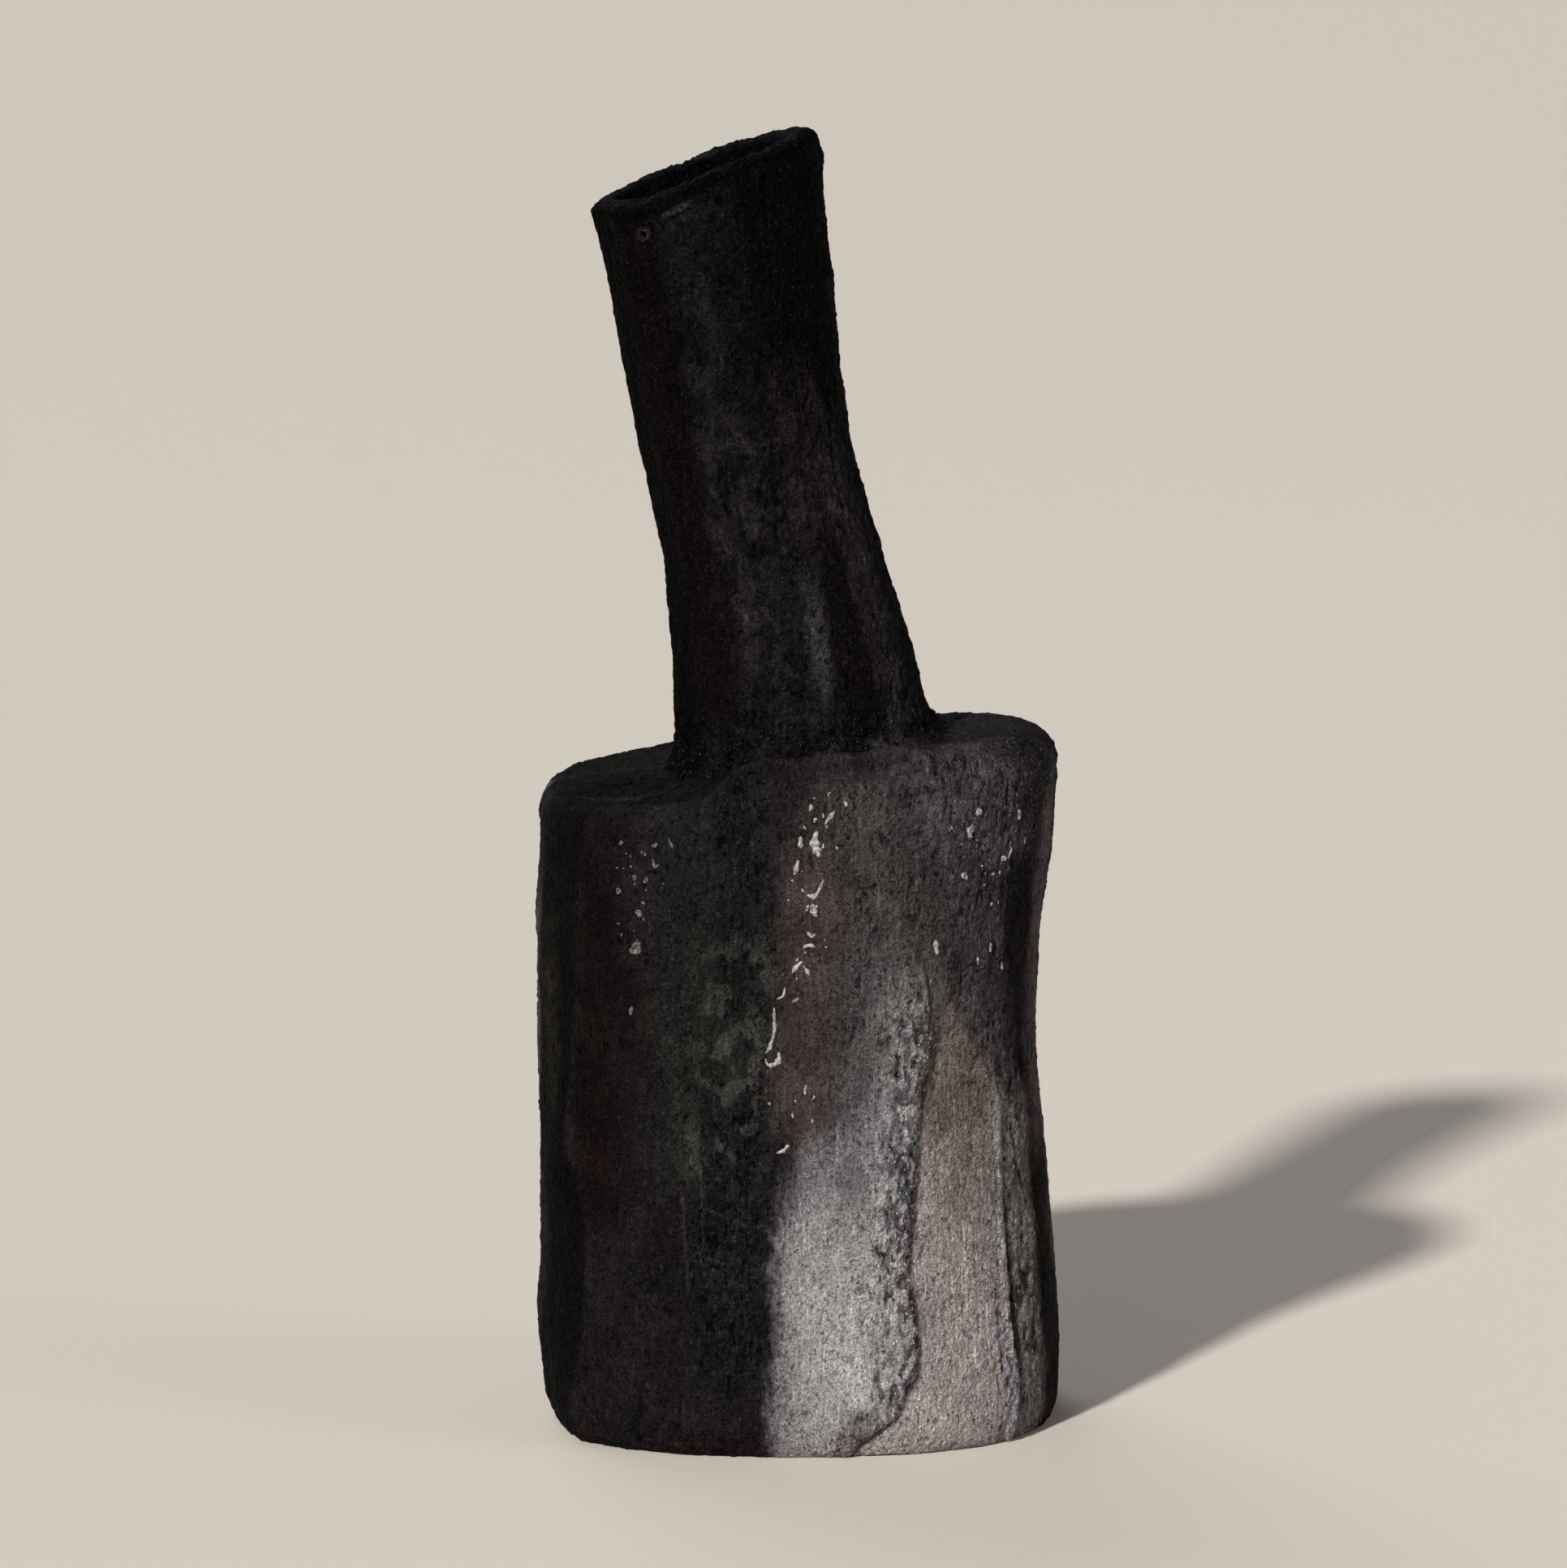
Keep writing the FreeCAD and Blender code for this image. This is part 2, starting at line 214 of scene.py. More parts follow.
def pits(points, size, seed, share):
    """Round hollows, 0 to 1 deep, one in that share of the cells of this size."""
    scaled = points / size
    cell = np.floor(scaled).astype(np.int64)
    deepest = np.zeros(points.shape[:-1])
    for corner in range(27):
        at = cell + np.array([corner % 3 - 1, corner // 3 % 3 - 1, corner // 9 - 1])
        draws = [hashed(at, seed * 7 + k) for k in range(5)]
        centre = at + 0.25 + 0.5 * np.stack(draws[:3], axis=-1)
        radius = 0.16 + 0.26 * draws[3]
        away = np.linalg.norm(scaled - centre, axis=-1) / radius
        depth = np.clip(1 - away * away, 0, 1) * (0.5 + 0.5 * draws[3]) * (draws[4] < share)
        deepest = np.maximum(deepest, depth)
    return deepest


def smooth(low, high, value):
    """0 below low and 1 above high, with an eased rise between them. High may be the lower one."""
    t = np.clip((value - low) / (high - low), 0, 1)
    return t * t * (3 - 2 * t)


def mix(a, b, share):
    """From a to b, by this share."""
    return a + (b - a) * share


# ---------------------------------------------------------------- the skin
def cubic(knots, values, at):
    """A smooth curve through values (one row per knot)."""
    knots, values = np.asarray(knots, float), np.asarray(values, float)
    slopes = np.gradient(values, knots, axis=0)
    i = np.clip(np.searchsorted(knots, at, side="right") - 1, 0, len(knots) - 2)
    span = (knots[i + 1] - knots[i])[:, None]
    t = ((at - knots[i])[:, None] / span).clip(0, 1)
    start, end = values[i], values[i + 1]
    return (
        (1 + 2 * t) * (1 - t) ** 2 * start
        + t * (1 - t) ** 2 * span * slopes[i]
        + t * t * (3 - 2 * t) * end
        + t * t * (t - 1) * span * slopes[i + 1]
    )


def rings_at(rings, heights):
    """Cross-sections at these heights of a chain of rings."""
    return cubic([r.z for r in rings], rings, heights)


def rings_between(rings, low, high, count):
    """Cross-sections at even steps of height between two heights of a chain of rings."""
    return rings_at(rings, np.linspace(low, high, count))


def raised(rows, height):
    """The same cross-sections, moved square to their own planes. Height is one number or one per row."""
    out = np.array(rows, float).reshape(-1, len(Ring._fields))
    tilt = np.radians(out[:, 2])
    out[:, 0] -= height * np.sin(tilt)
    out[:, 1] += height * np.cos(tilt)
    return out


def shrunk(rows, inset):
    """The same cross-sections, smaller all round. Inset is one number or one per row."""
    out = np.array(rows, float).reshape(-1, len(Ring._fields))
    out[:, REACHES] -= np.reshape(inset, (-1, 1))
    return out


def copies(ring, count):
    """Rows of one cross-section."""
    return np.repeat(np.array([ring], float), count, axis=0)


def blend_rows(first, last, shares):
    """Rows that go evenly from one cross-section to another."""
    return mix(np.asarray(first, float), np.asarray(last, float), np.asarray(shares)[:, None])


def ring_points(rows, angles):
    """The points of cross-sections, rows by angles. Angles are in degrees, one list or one per row."""
    angle = np.radians(np.broadcast_to(angles, (len(rows), np.shape(angles)[-1])))
    x, z, tilt, left, right, depth, nod, neck = (rows[:, k, None] for k in range(rows.shape[1]))
    across, along = np.cos(angle), np.sin(angle)
    body_power = BODY_POWER + CORNER_POWER * np.cos(angle - math.radians(CORNERS["front_left"]))
    power = mix(body_power, NECK_POWER, neck)
    half_width = np.where(across >= 0, right, left)
    reach = (np.abs(across) / half_width) ** power + (np.abs(along) / depth) ** power
    radius = reach ** (-1 / power)
    u, v = radius * across, radius * along
    tilt, nod = np.radians(tilt), np.radians(nod)
    return np.stack(
        [x + u * np.cos(tilt), v * np.cos(nod), z + u * np.sin(tilt) + v * np.sin(nod)], axis=-1
    )


def girth_table():
    """Angle against the way round the wall from the front, in mm, on the body's middle."""
    angles = np.linspace(90, 450, 1441)
    points = ring_points(np.array([MIDDLE_RING], float), angles)[0]
    steps = np.linalg.norm(np.diff(points[:, :2], axis=0), axis=1)
    way = np.concatenate([[0], np.cumsum(steps)])
    return angles, way - np.interp(270, angles, way)


GIRTH_ANGLES, GIRTH_WAY = girth_table()
GIRTH = GIRTH_WAY[-1] - GIRTH_WAY[0]


def way_round(angles):
    """Millimetres round the wall from the middle of the front, + to the right."""
    return np.interp((np.asarray(angles) - 90) % 360 + 90, GIRTH_ANGLES, GIRTH_WAY)


def angle_at_way(way):
    """The angle at these millimetres round the wall."""
    return np.interp(way, GIRTH_WAY, GIRTH_ANGLES)


def shorter(away, turn):
    """A distance round a closed turn, taken the shorter way, with its sign."""
    return (away + turn / 2) % turn - turn / 2


def way_at_place(place, height):
    """Millimetres round the wall for a sideways place on the front half, at a height."""
    place, height = np.broadcast_arrays(np.asarray(place, float), np.asarray(height, float))
    heights, lefts, rights = zip(*((r.z, r.left, r.right) for r in WALL_RINGS))
    left, right = np.interp(height, heights, lefts), np.interp(height, heights, rights)
    scaled = place * np.where(place < 0, MIDDLE_RING.left / left, MIDDLE_RING.right / right)
    angles = np.linspace(182, 358, 705)
    points = ring_points(np.array([MIDDLE_RING], float), angles)[0]
    return np.interp(scaled, points[:, 0], way_round(angles))


def line_way(line, height):
    """Where a line of (height, place) pairs is at these heights, in mm round the wall."""
    heights, places = np.array(line, float).T
    return way_at_place(np.interp(height, heights, places), height)


# ---------------------------------------------------------------- streaks of slip, with painted light and shade laid on the same way
# How far a wide streak's edge wanders, on the body in mm and on the neck in degrees.
BODY_WANDER, NECK_WANDER = 4.0, 9.0
FRONT_STREAKS = (
    # colour, strength, line of (height, place), half width, softness, lowest, highest, fade, rough
    (DARK_PLUM, 0.9, ((0, -44), (70, -46), (140, -46)), 5.0, 0.5, 62, 138, 25, 0.2),
    (DARK_PLUM, 0.6, ((0, -38), (150, -40)), 10, 0.8, 66, 108, 24, 0.1),
    (GREEN_GREY, 0.7, ((50, -26), (150, -24)), 10, 0.6, 66, 150, 14, 0.45),
    (GREEN_GREY, 0.9, ((60, -22), (110, -14)), 9.0, 0.4, 74, 116, 12, 0.5),
    (CHARCOAL, 0.95, ((0, -14), (60, -15), (95, -13)), 8.5, 0.3, 26, 76, 18, 1.0),
    (CHARCOAL, 0.6, ((60, -9), (110, -10)), 2.6, 0.6, 64, 100, 8, 1.0),
    (CHARCOAL, 0.75, ((100, -13), (150, -12)), 5.5, 0.6, 108, 154, 8, 1.0),
    (STONE_GREY, 0.68, ((90, 20), (150, 25)), 19, 0.8, 92, 146, 14, 0.8),
    # These five rows lay a pool of painted light on the clay's own grey, on the lower front: palest low in
    # the middle, fading upwards, with a soft left edge.
    (DIM_LIT_SILVER, 0.32, ((20, 12), (90, 17), (120, 19)), 9.0, 0.9, 60, 110, 30, 0.3),
    (DIM_LIT_SILVER, 1.0, ((0, 11.5), (50, 12), (90, 18)), 15.0, 0.25, -4, 66, 30, 0.15),
    (SILVER, 0.95, ((0, 12), (50, 12), (80, 16)), 13.5, 0.45, 14, 34, 46, 0.15),
    (PALE_LIT_SILVER, 0.6, ((0, 8), (50, 8)), 8.5, 0.9, 22, 34, 34, 0.05),
    (PALE_LIT_SILVER, 0.5, ((0, 15), (50, 13)), 8.0, 0.9, 18, 28, 16, 0.05),
    (PLUM, 0.8, ((60, 0.5), (120, 3.5)), 7.5, 0.5, 80, 128, 14, 0.1),
    (FOOT_BROWN, 0.8, ((0, 13), (14, 17)), 7.0, 0.6, -2, 9, 6, 0.9),
    (LILAC, 0.9, ((80, 47), (112, 42), (140, 44)), 7.0, 0.6, 80, 150, 14, 0.7),
    (DARK_PLUM, 0.35, ((110, 39), (150, 44)), 6.5, 0.6, 112, 152, 10, 0.8),
    (LILAC, 0.8, ((140, 44), (160, 42)), 15, 0.8, 140, 176, 8, 1.0),
    # Painted shadow of the neck, on the shoulder's top left:
    (CHARCOAL, 0.75, ((140, -30), (160, -30)), 17, 0.4, 152, 172, 3, 0.7),
    (CHARCOAL, 0.5, ((0, 61), (150, 59)), 7.0, 0.7, 70, 150, 20, 0.9),
)
# The colours, strengths and roughness of the streaks round the sides and the back, in turn.
SIDE_KINDS = (
    (MAUVE, 0.6, 0.3), (CHARCOAL, 0.75, 1.0), (GREEN_GREY, 0.75, 0.4), (PLUM, 0.7, 0.2),
    (SILVER, 0.3, 0.3), (CHARCOAL, 0.8, 1.0), (OCHRE, 0.45, 0.2), (DARK_PLUM, 0.7, 0.5),
    (LILAC, 0.6, 0.5), (STONE_GREY, 0.6, 0.6),
)
SIDE_COUNT = 34
SIDE_START = 68         # how far round from the front's middle they start, in mm


class Paint:
    """The clay's colour and roughness, laid in coats over one ground tone."""

    def __init__(self, shape, rough):
        self.colour = np.broadcast_to(np.array(MAUVE), shape + (3,)).copy()
        self.rough = np.full(shape, rough)

    def lay(self, tone, mask, rough=None):
        """One coat, where the mask is above 0. It leaves the roughness if none is given."""
        self.colour = mix(self.colour, np.array(tone), mask[..., None])
        if rough is not None:
            self.rough = mix(self.rough, rough, mask)


def body_streaks(height):
    """The body's streaks, as FRONT_STREAKS has them but with the way of their line at these heights."""
    for tone, strength, line, *rest in FRONT_STREAKS:
        yield tone, strength, line_way(line, height), *rest
    draw = np.random.default_rng(SEED)
    for k in range(SIDE_COUNT):
        tone, strength, rough = SIDE_KINDS[(k * 3 + int(draw.integers(0, 2))) % len(SIDE_KINDS)]
        place = SIDE_START + (GIRTH - 2 * SIDE_START) * (k + draw.random()) / SIDE_COUNT
        middle, length = draw.uniform(20, 130), draw.uniform(30, 80)
        half, slant = draw.uniform(4, 11), draw.uniform(-6, 6)
        way = place + slant * height / 150
        yield tone, strength, way, half, 0.6, middle - length / 2, middle + length / 2, 18, rough



def streak_mask(away, half, wander, edges, span, height, ragged):
    """How much of a streak is at these places, 0 to 1. Span is its lowest, its highest and its fade."""
    low, high, fade = span
    spread = np.abs(away) / half + ragged * min(1.0, wander / half)
    end = height + 6 * ragged
    return smooth(*edges, spread) * smooth(low - fade, low + 1, end) * smooth(high + fade, high - 1, end)


def body_paint(points, local, way):
    """The colour and roughness of the clay on the body, with painted light and shade in the colour, and how
    much it glints.
    """
    height = points[..., 2]
    coarse = 0.34 * noise(local, 8, 31, 2.4)
    ragged = coarse + 0.30 * noise(local, 2.8, 32, 1.7) + 0.24 * noise(local, 1.1, 34)
    paint = Paint(height.shape, 0.45)
    for tone, strength, line, half, soft, low, high, fade, rough in body_streaks(height):
        away, edges = shorter(way - line, GIRTH), (1 + soft, 1 - soft)
        mask = streak_mask(away, half, BODY_WANDER, edges, (low, high, fade), height, ragged)
        paint.lay(tone, strength * mask, rough)

    lap = way - line_way(LAP_LINE, height) + 0.5 * ragged
    seam = way - line_way(SEAM_LINE, height) + 0.5 * ragged
    # The rough band left of the lapped edge: a pale grey, partly painted light like the silver beside it,
    # darker upwards and close to the lapped edge as painted shade, then cracked with charcoal.
    band = smooth(-16, -2, lap) * smooth(0.6, -0.3, lap) * smooth(3, 14, height) * smooth(116, 96, height)
    paint.lay(BAND_GREY, 0.9 * band, 1.0)
    shaded = smooth(34, 78, height) + 0.8 * smooth(-3.6, -0.8, lap)
    cracked = noise(local, 1.25, 38, 2.6) + 0.45 * band - 0.42 + 0.24 * shaded
    paint.lay(CHARCOAL, 0.72 * band * smooth(0.0, 0.3, cracked), 1.0)

    upper = smooth(62, 92, height)
    tan = smooth(-0.6 - 4 * upper, 0.8 + 4 * upper, lap) * smooth(1.0 + 4 * upper, -1.0 - 3 * upper, seam)
    tan *= smooth(130, 82, height + 8 * ragged)
    paint.lay(OCHRE, tan, 0.35)
    # The tan made paler towards the foot: painted light, like the silver beside it.
    paint.lay(LIT_WARM_GREY, tan * smooth(92, 18, height + 10 * coarse), 0.35)
    pink = smooth(7, 2, lap) * smooth(76, 64, height + 6 * coarse) * smooth(20, 34, height)
    paint.lay(PINK_GREY, 0.7 * tan * pink, 0.35)
    right = smooth(-0.5, 0.8, seam) * smooth(15, 9, seam) * smooth(92, 70, height + 6 * ragged)
    paint.lay(WET_GREY, 0.85 * right, 0.9)
    # The left side past the front left corner, laid near black: painted shade.
    corner = way - line_way(LEFT_EDGE_LINE, height) + 0.9 * ragged
    facet = smooth(0.9, -0.7, corner) * smooth(-26, -17, corner) * smooth(156, 149, height)
    paint.lay(SHADE_BLACK, 0.92 * facet * smooth(-1.1, -0.2, 0.6 * ragged - 0.3), 0.35)
    wide = mix(1.8, 4.2, smooth(68, 48, height))
    deposit = smooth(wide, 0.6 * wide, np.abs(seam + 0.5 * wide) + 0.9 * np.abs(ragged))
    deposit *= smooth(92, 62, height) * (0.5 + 0.5 * smooth(62, 22, height))
    paint.lay(LILAC_WHITE, 0.9 * deposit * smooth(-0.35, 0.2, noise(local, 1.4, 33, 2) + 0.1), 1.0)

    lobes = smooth(-0.02, 0.14, noise(local + 1.4 * noise(local, 3, 39)[..., None], 4.4, 40, 1.7))
    away = shorter(way - line_way(GLAZE_LINE, height), GIRTH)
    glazed = streak_mask(away, 9.0, BODY_WANDER, (1.5, 0.5), (72, 112, 12), height, ragged)
    paint.lay(GLAZE_GREY, 0.8 * lobes * glazed, 0.5)

    # The shoulder's top, laid near black but for its right end: painted shade.
    on_top = smooth(-1.6, -0.3, above_shoulder(points))
    paint.lay(SHADE_BLACK, 0.9 * on_top * smooth(38, 26, points[..., 0] + 5 * coarse), 0.5)
    # A paler crescent in the dent on the shoulder's top: painted highlight.
    crescent = np.hypot((points[..., 0] + 42) / 7.5, (points[..., 1] + 25) / 3.0)
    paint.lay(GREEN_GREY, 0.9 * on_top * smooth(1.3, 0.5, crescent + 0.6 * ragged), 0.6)
    # The sides and back are made paler than the front, whose dark tones hold painted shade.
    paint.colour = paint.colour * mix(1.0, BACK_GAIN, smooth(70, 96, np.abs(way)))[..., None]

    flecks = smooth(0.32, 0.55, noise(local, 1.25, 37, 1.5) + 0.35 * coarse) * paint.rough
    blotch = smooth(-0.10, 0.12, noise(local, 7.5, 35, 1.5) + 0.45 * noise(local, 2.4, 36))
    # Where crystal specks are painted pale as glints: a little wherever it is rough, more at the shoulder's
    # front right corner, in the band and on the deposit.
    at_corner = smooth(26, 40, points[..., 0]) * smooth(0, -24, points[..., 1]) * smooth(122, 142, height)
    glints = np.max([0.06 * paint.rough, 0.25 * at_corner, band, 0.6 * deposit], axis=0)
    return mottled(paint.colour, blotch, flecks), paint.rough, glints


def mottled(colour, blotch, flecks):
    """Colour with darker and paler lobes, which pale clay hardly shows, and with flecks of dust."""
    pale = smooth(0.09, 0.20, colour.mean(axis=-1))
    colour = colour * mix(mix(0.80, 0.96, pale), mix(1.10, 1.03, pale), blotch)[..., None]
    return mix(colour, colour * FLECK_GAIN + FLECK_LIFT, (0.65 * flecks)[..., None])


BUBBLE_RADIUS = 1.3
MM_PER_DEG = 0.42       # round the neck
NECK_STREAKS = (
    # colour, strength, degrees at the neck's foot, at its mouth, half width, lowest, highest, fade, rough
    # The near-black rows are painted shade: on the neck's left, high on its front right, and in a band under
    # the lip.
    (SHADE_BLACK, 1.0, 194, 188, 24, 150, 300, 8, 0.3),
    (DARK_PLUM, 0.9, 229, 226, 13, 178, 296, 22, 0.4),
    (LILAC, 0.18, 251, 257, 13, 188, 290, 25, 0.5),
    (STONE_GREY, 0.12, 262, 258, 16, 160, 226, 20, 0.5),
    (CHARCOAL, 0.8, 276, 274, 8, 246, 290, 10, 1.0),
    (SHADE_BLACK, 0.85, 320, 312, 27, 240, 300, 12, 0.7),
    (SHADE_BLACK, 0.6, 240, 285, 40, 289, 305, 3, 0.6),
    (PLUM, 0.40, 303, 303, 13, 212, 242, 12, 0.9),
    (STONE_GREY, 0.50, 280, 312, 6, 174, 194, 12, 0.8),
    (SILVER, 0.16, 280, 312, 3.5, 177, 190, 8, 0.8),
    (DARK_PLUM, 0.7, 303, 303, 9, 160, 202, 12, 0.8),
    (LILAC, 0.38, 327, 324, 12, 168, 226, 18, 0.6),
    (STONE_GREY, 0.7, 340, 342, 4, 167, 173, 3, 1.0),
    (CHARCOAL, 0.6, 350, 350, 16, 160, 300, 20, 0.8),
    (GREEN_GREY, 0.7, 25, 20, 14, 170, 290, 25, 0.4),
    (PLUM, 0.5, 60, 62, 12, 160, 270, 25, 0.3),
    (CHARCOAL, 0.7, 88, 84, 10, 190, 300, 20, 1.0),
    (STONE_GREY, 0.5, 112, 118, 9, 165, 240, 25, 0.4),
    (OCHRE, 0.25, 140, 138, 11, 200, 290, 25, 0.4),
    (CHARCOAL, 0.5, 168, 165, 12, 160, 290, 20, 0.8),
)


def neck_paint(points, local, angles):
    """The colour and roughness of the clay on the neck, with painted light and shade in the colour, and how
    much it glints.
    """
    height = points[..., 2]
    ragged = 0.34 * noise(local, 7, 41, 2.4) + 0.30 * noise(local, 2.6, 42, 1.7)
    ragged += 0.24 * noise(local, 1.1, 44)
    patchy = smooth(-0.20, 0.12, noise(local, 4.6, 43, 1.7) + 0.5 * noise(local, 1.5, 49, 1.4))
    paint = Paint(height.shape, 0.75)
    up = (height - 160) / 130
    for tone, strength, foot_deg, mouth_deg, half, low, high, fade, rough in NECK_STREAKS:
        away = shorter(angles - mix(foot_deg, mouth_deg, up), 360)
        mask = streak_mask(away, half, NECK_WANDER, (1.35, 0.75), (low, high, fade), height, ragged)
        paint.lay(tone, strength * mask * mix(patchy, 1.0, strength), rough)

    foot = smooth(13, 3, above_shoulder(points))
    crust = smooth(5.5, 1.5, above_shoulder(points)) * smooth(0.0, 0.3, ragged + 0.1)
    crust *= smooth(30, 18, np.abs(angles - 296))
    paint.lay(STONE_GREY, 0.8 * smooth(1.15, 0.75, flake_spread(points, local)))
    # A pale ring round the burst bubble: painted highlight on its rim.
    paint.lay(STONE_GREY, 0.7 * smooth(0.8, 0.1, np.abs(bubble_away(points) - BUBBLE_RADIUS)))
    paint.lay(STONE_GREY, 0.8 * crust)
    # The neck darkened as painted shade, more near the mouth and most on the lip's crown, less round the
    # back.
    shade = NECK_SHADE * mix(1.0, MOUTH_SHADE, smooth(195, 250, height))
    shade *= mix(1.0, NECK_BACK_GAIN, smooth(84, 120, np.abs(shorter(angles - 270, 360))))
    shade *= mix(1.0, CROWN_SHADE, smooth(2.4, 4.2, above_neck(points) + 1.2 * ragged))

    blotch = smooth(-0.10, 0.12, noise(local, 6.5, 45, 1.5) + 0.45 * noise(local, 2.2, 46))
    flecks = smooth(0.34, 0.56, noise(local, 1.25, 47, 1.5) + 0.4 * noise(local, 8, 48)) * paint.rough
    flecks = np.maximum(flecks, 0.9 * foot * smooth(0.1, 0.5, ragged))
    colour = mottled(paint.colour * shade[..., None], blotch, flecks)
    return colour, mix(paint.rough, 1.0, foot), 0.025 + 0.07 * foot


def above_shoulder(points):
    """Height of points over the shoulder's tilted top."""
    return points[..., 2] - NECK_FOOT_Z - (points[..., 0] - NECK_FOOT_X) * SLOPE


def above_neck(points):
    """Height of points over the neck's top ring, which the lip sits on."""
    tilt, nod = math.radians(NECK_TOP.tilt), math.radians(NECK_TOP.nod)
    sloped = (points[..., 0] - NECK_TOP.x) * math.tan(tilt) + points[..., 1] * math.tan(nod)
    return (points[..., 2] - NECK_TOP.z - sloped) * math.cos(tilt)


# ---------------------------------------------------------------- relief
def edge_marks(local, way, height):
    """The lapped edges and seams of the body's front, and the cuts in it, both in mm."""
    fray = 0.5 * noise(local, 5, 51, 2) + 0.25 * noise(local, 1.6, 52)
    lap = line_way(LAP_LINE, height) - way + fray
    lapped = np.where(lap > 0, np.exp(-lap / 20), smooth(-1.1, 0, lap))
    marks = 1.15 * lapped * smooth(126, 104, height)
    cuts = 0.6 * smooth(1.2, 0.1, np.abs(lap - 0.1)) * smooth(108, 84, height)
    seam = way - line_way(SEAM_LINE, height) + 0.7 * fray
    fading = smooth(120, 80, height)
    marks += 0.7 * smooth(1.7, 0, np.abs(seam + 1.0)) * fading
    crack = smooth(1.3, 0.2, np.abs(seam - 1.1) + 0.9 * noise(local, 7, 53, 1.6))
    cuts += 1.6 * crack * smooth(60, 42, height) * smooth(8, 16, height)
    flakes = smooth(0.10, 0.5, noise(local + fray[..., None], 2.0, 54, 2.8))
    cuts += 0.5 * flakes * smooth(0, 3, seam) * smooth(14, 9, seam) * smooth(104, 72, height)
    corner = way - line_way(LEFT_EDGE_LINE, height)
    marks += 1.3 * np.exp(-np.abs(corner + 0.4 * fray) / 3.6) * smooth(150, 138, height)
    bar = np.abs(way - way_at_place(-35.3, height))
    cuts += 0.25 * smooth(1.5, 0.6, bar) * smooth(17, 12, height)
    return marks, cuts


SCRATCHES = (
    # from (place, height) to (place, height) on the front wall
    ((38.5, 52), (39.5, 33)), ((41.5, 27), (42.5, 13)), ((44, 34), (45.5, 17)), ((-22, 58), (-12, 54)),
    ((-20, 46), (-14, 44.5)), ((-26, 60), (-24, 38)), ((9, 78), (8.5, 60)), ((37.8, 33.5), (39.5, 33)),
    ((33, 72), (33.5, 60)), ((-22, 66), (-21, 48)),
)


def scratches(way, height):
    """Thin scored lines on the front wall, 0 to 1."""
    found = np.zeros(height.shape)
    for (place_a, z_a), (place_b, z_b) in SCRATCHES:
        way_a, way_b = way_at_place(place_a, z_a), way_at_place(place_b, z_b)
        run = (way_b - way_a) ** 2 + (z_b - z_a) ** 2
        along = np.clip(((way - way_a) * (way_b - way_a) + (height - z_a) * (z_b - z_a)) / run, 0, 1)
        off = np.hypot(way - mix(way_a, way_b, along), height - mix(z_a, z_b, along))
        found = np.maximum(found, smooth(0.45, 0.1, off) * (0.7 - 0.4 * along))
    return found


def grain(local, rough):
    """The fine relief of grogged clay dragged upwards by hand, in mm. Rough is 0 to 1."""
    lumps = 0.24 * noise(local, 3.4, 61, 1.7) + 0.20 * noise(local, 1.7, 62, 1.7)
    lumps += 0.20 * noise(local, 0.95, 65, 1.3)
    drags = 0.10 * noise(local, 1.3, 63, 5)
    crumbs = np.abs(noise(local, 1.9, 64, 1.3))
    patchy = noise(local, 9, 67, 1.6)
    torn = smooth(0.36, 0.62, noise(local, 1.1, 66, 2.8) + 0.42 * patchy)
    bent = local + 0.9 * noise(local, 1.6, 68)[..., None]
    hollows = 0.5 * pits(bent, 4.2, 69, 0.07)
    veins = smooth(0.13, 0.02, np.abs(noise(bent, 2.5, 74, 2.4)))
    veins *= smooth(-0.15, 0.2, noise(local, 7, 75))
    cut = 0.42 * torn * (0.15 + 0.9 * rough) + 0.36 * crumbs * rough + hollows
    return lumps * (0.40 + 1.10 * rough) + drags + 0.24 * veins * (0.25 + 0.9 * rough) - cut


def unevenness(points):
    """The broad waviness of hand work, in mm."""
    return 0.75 * noise(points, 36, 71) + 0.38 * noise(points, 15, 72) + 0.16 * noise(points, 7, 73)


# The upright edges between the neck's flats, in degrees.
FACET_EDGES = (20, 70, 118, 160, 190, 217, 244, 283, 324)


def facets(angles):
    """The neck is pressed into upright flats: 0 on an edge, down to -1 in the middle of a flat."""
    edges = np.array([FACET_EDGES[-1] - 360, *FACET_EDGES, FACET_EDGES[0] + 360], float)
    turned = np.asarray(angles) % 360
    i = np.clip(np.searchsorted(edges, turned, side="right") - 1, 0, len(edges) - 2)
    half, middle = (edges[i + 1] - edges[i]) / 2, (edges[i + 1] + edges[i]) / 2
    return ((turned - middle) / half) ** 2 - 1


def neck_marks(points, local, angles):
    """Facets, the lump at the waist, a bubble and a flake on the neck, in mm."""
    height = points[..., 2]
    marks = 0.65 * facets(angles + 4 * noise(points, 30, 55)) * smooth(300, 280, height)
    lap = height - 206 - 3.0 * noise(local, 18, 56)
    marks += 0.35 * smooth(-2.5, 0, lap) * smooth(14, 0, lap)
    away = bubble_away(points)
    marks += 0.8 * smooth(0.7, 0, np.abs(away - BUBBLE_RADIUS)) - 0.7 * smooth(1.0, 0, away)
    marks += 0.6 * smooth(1.1, 0.8, flake_spread(points, local))
    crack = (angles - 318.5 - 0.3 * (height - 210) - 3 * noise(local, 12, 58)) * MM_PER_DEG
    cracked = smooth(206, 214, height) * smooth(246, 238, height)
    cuts = 0.6 * smooth(0.6, 0.1, np.abs(crack)) * cracked
    marks += 0.5 * smooth(1.6, 0.4, np.abs(crack - 0.9)) * cracked
    lumps = 1.1 * noise(local, 4.6, 59, 0.8) + 0.7 * noise(local, 2.1, 60)
    return marks + lumps * smooth(11, 3, above_shoulder(points)), cuts


def bubble_away(points):
    """Distance from the middle of the burst bubble under the lip."""
    return np.linalg.norm(points - surface_spot(232.5, NECK_TOP.z), axis=-1)


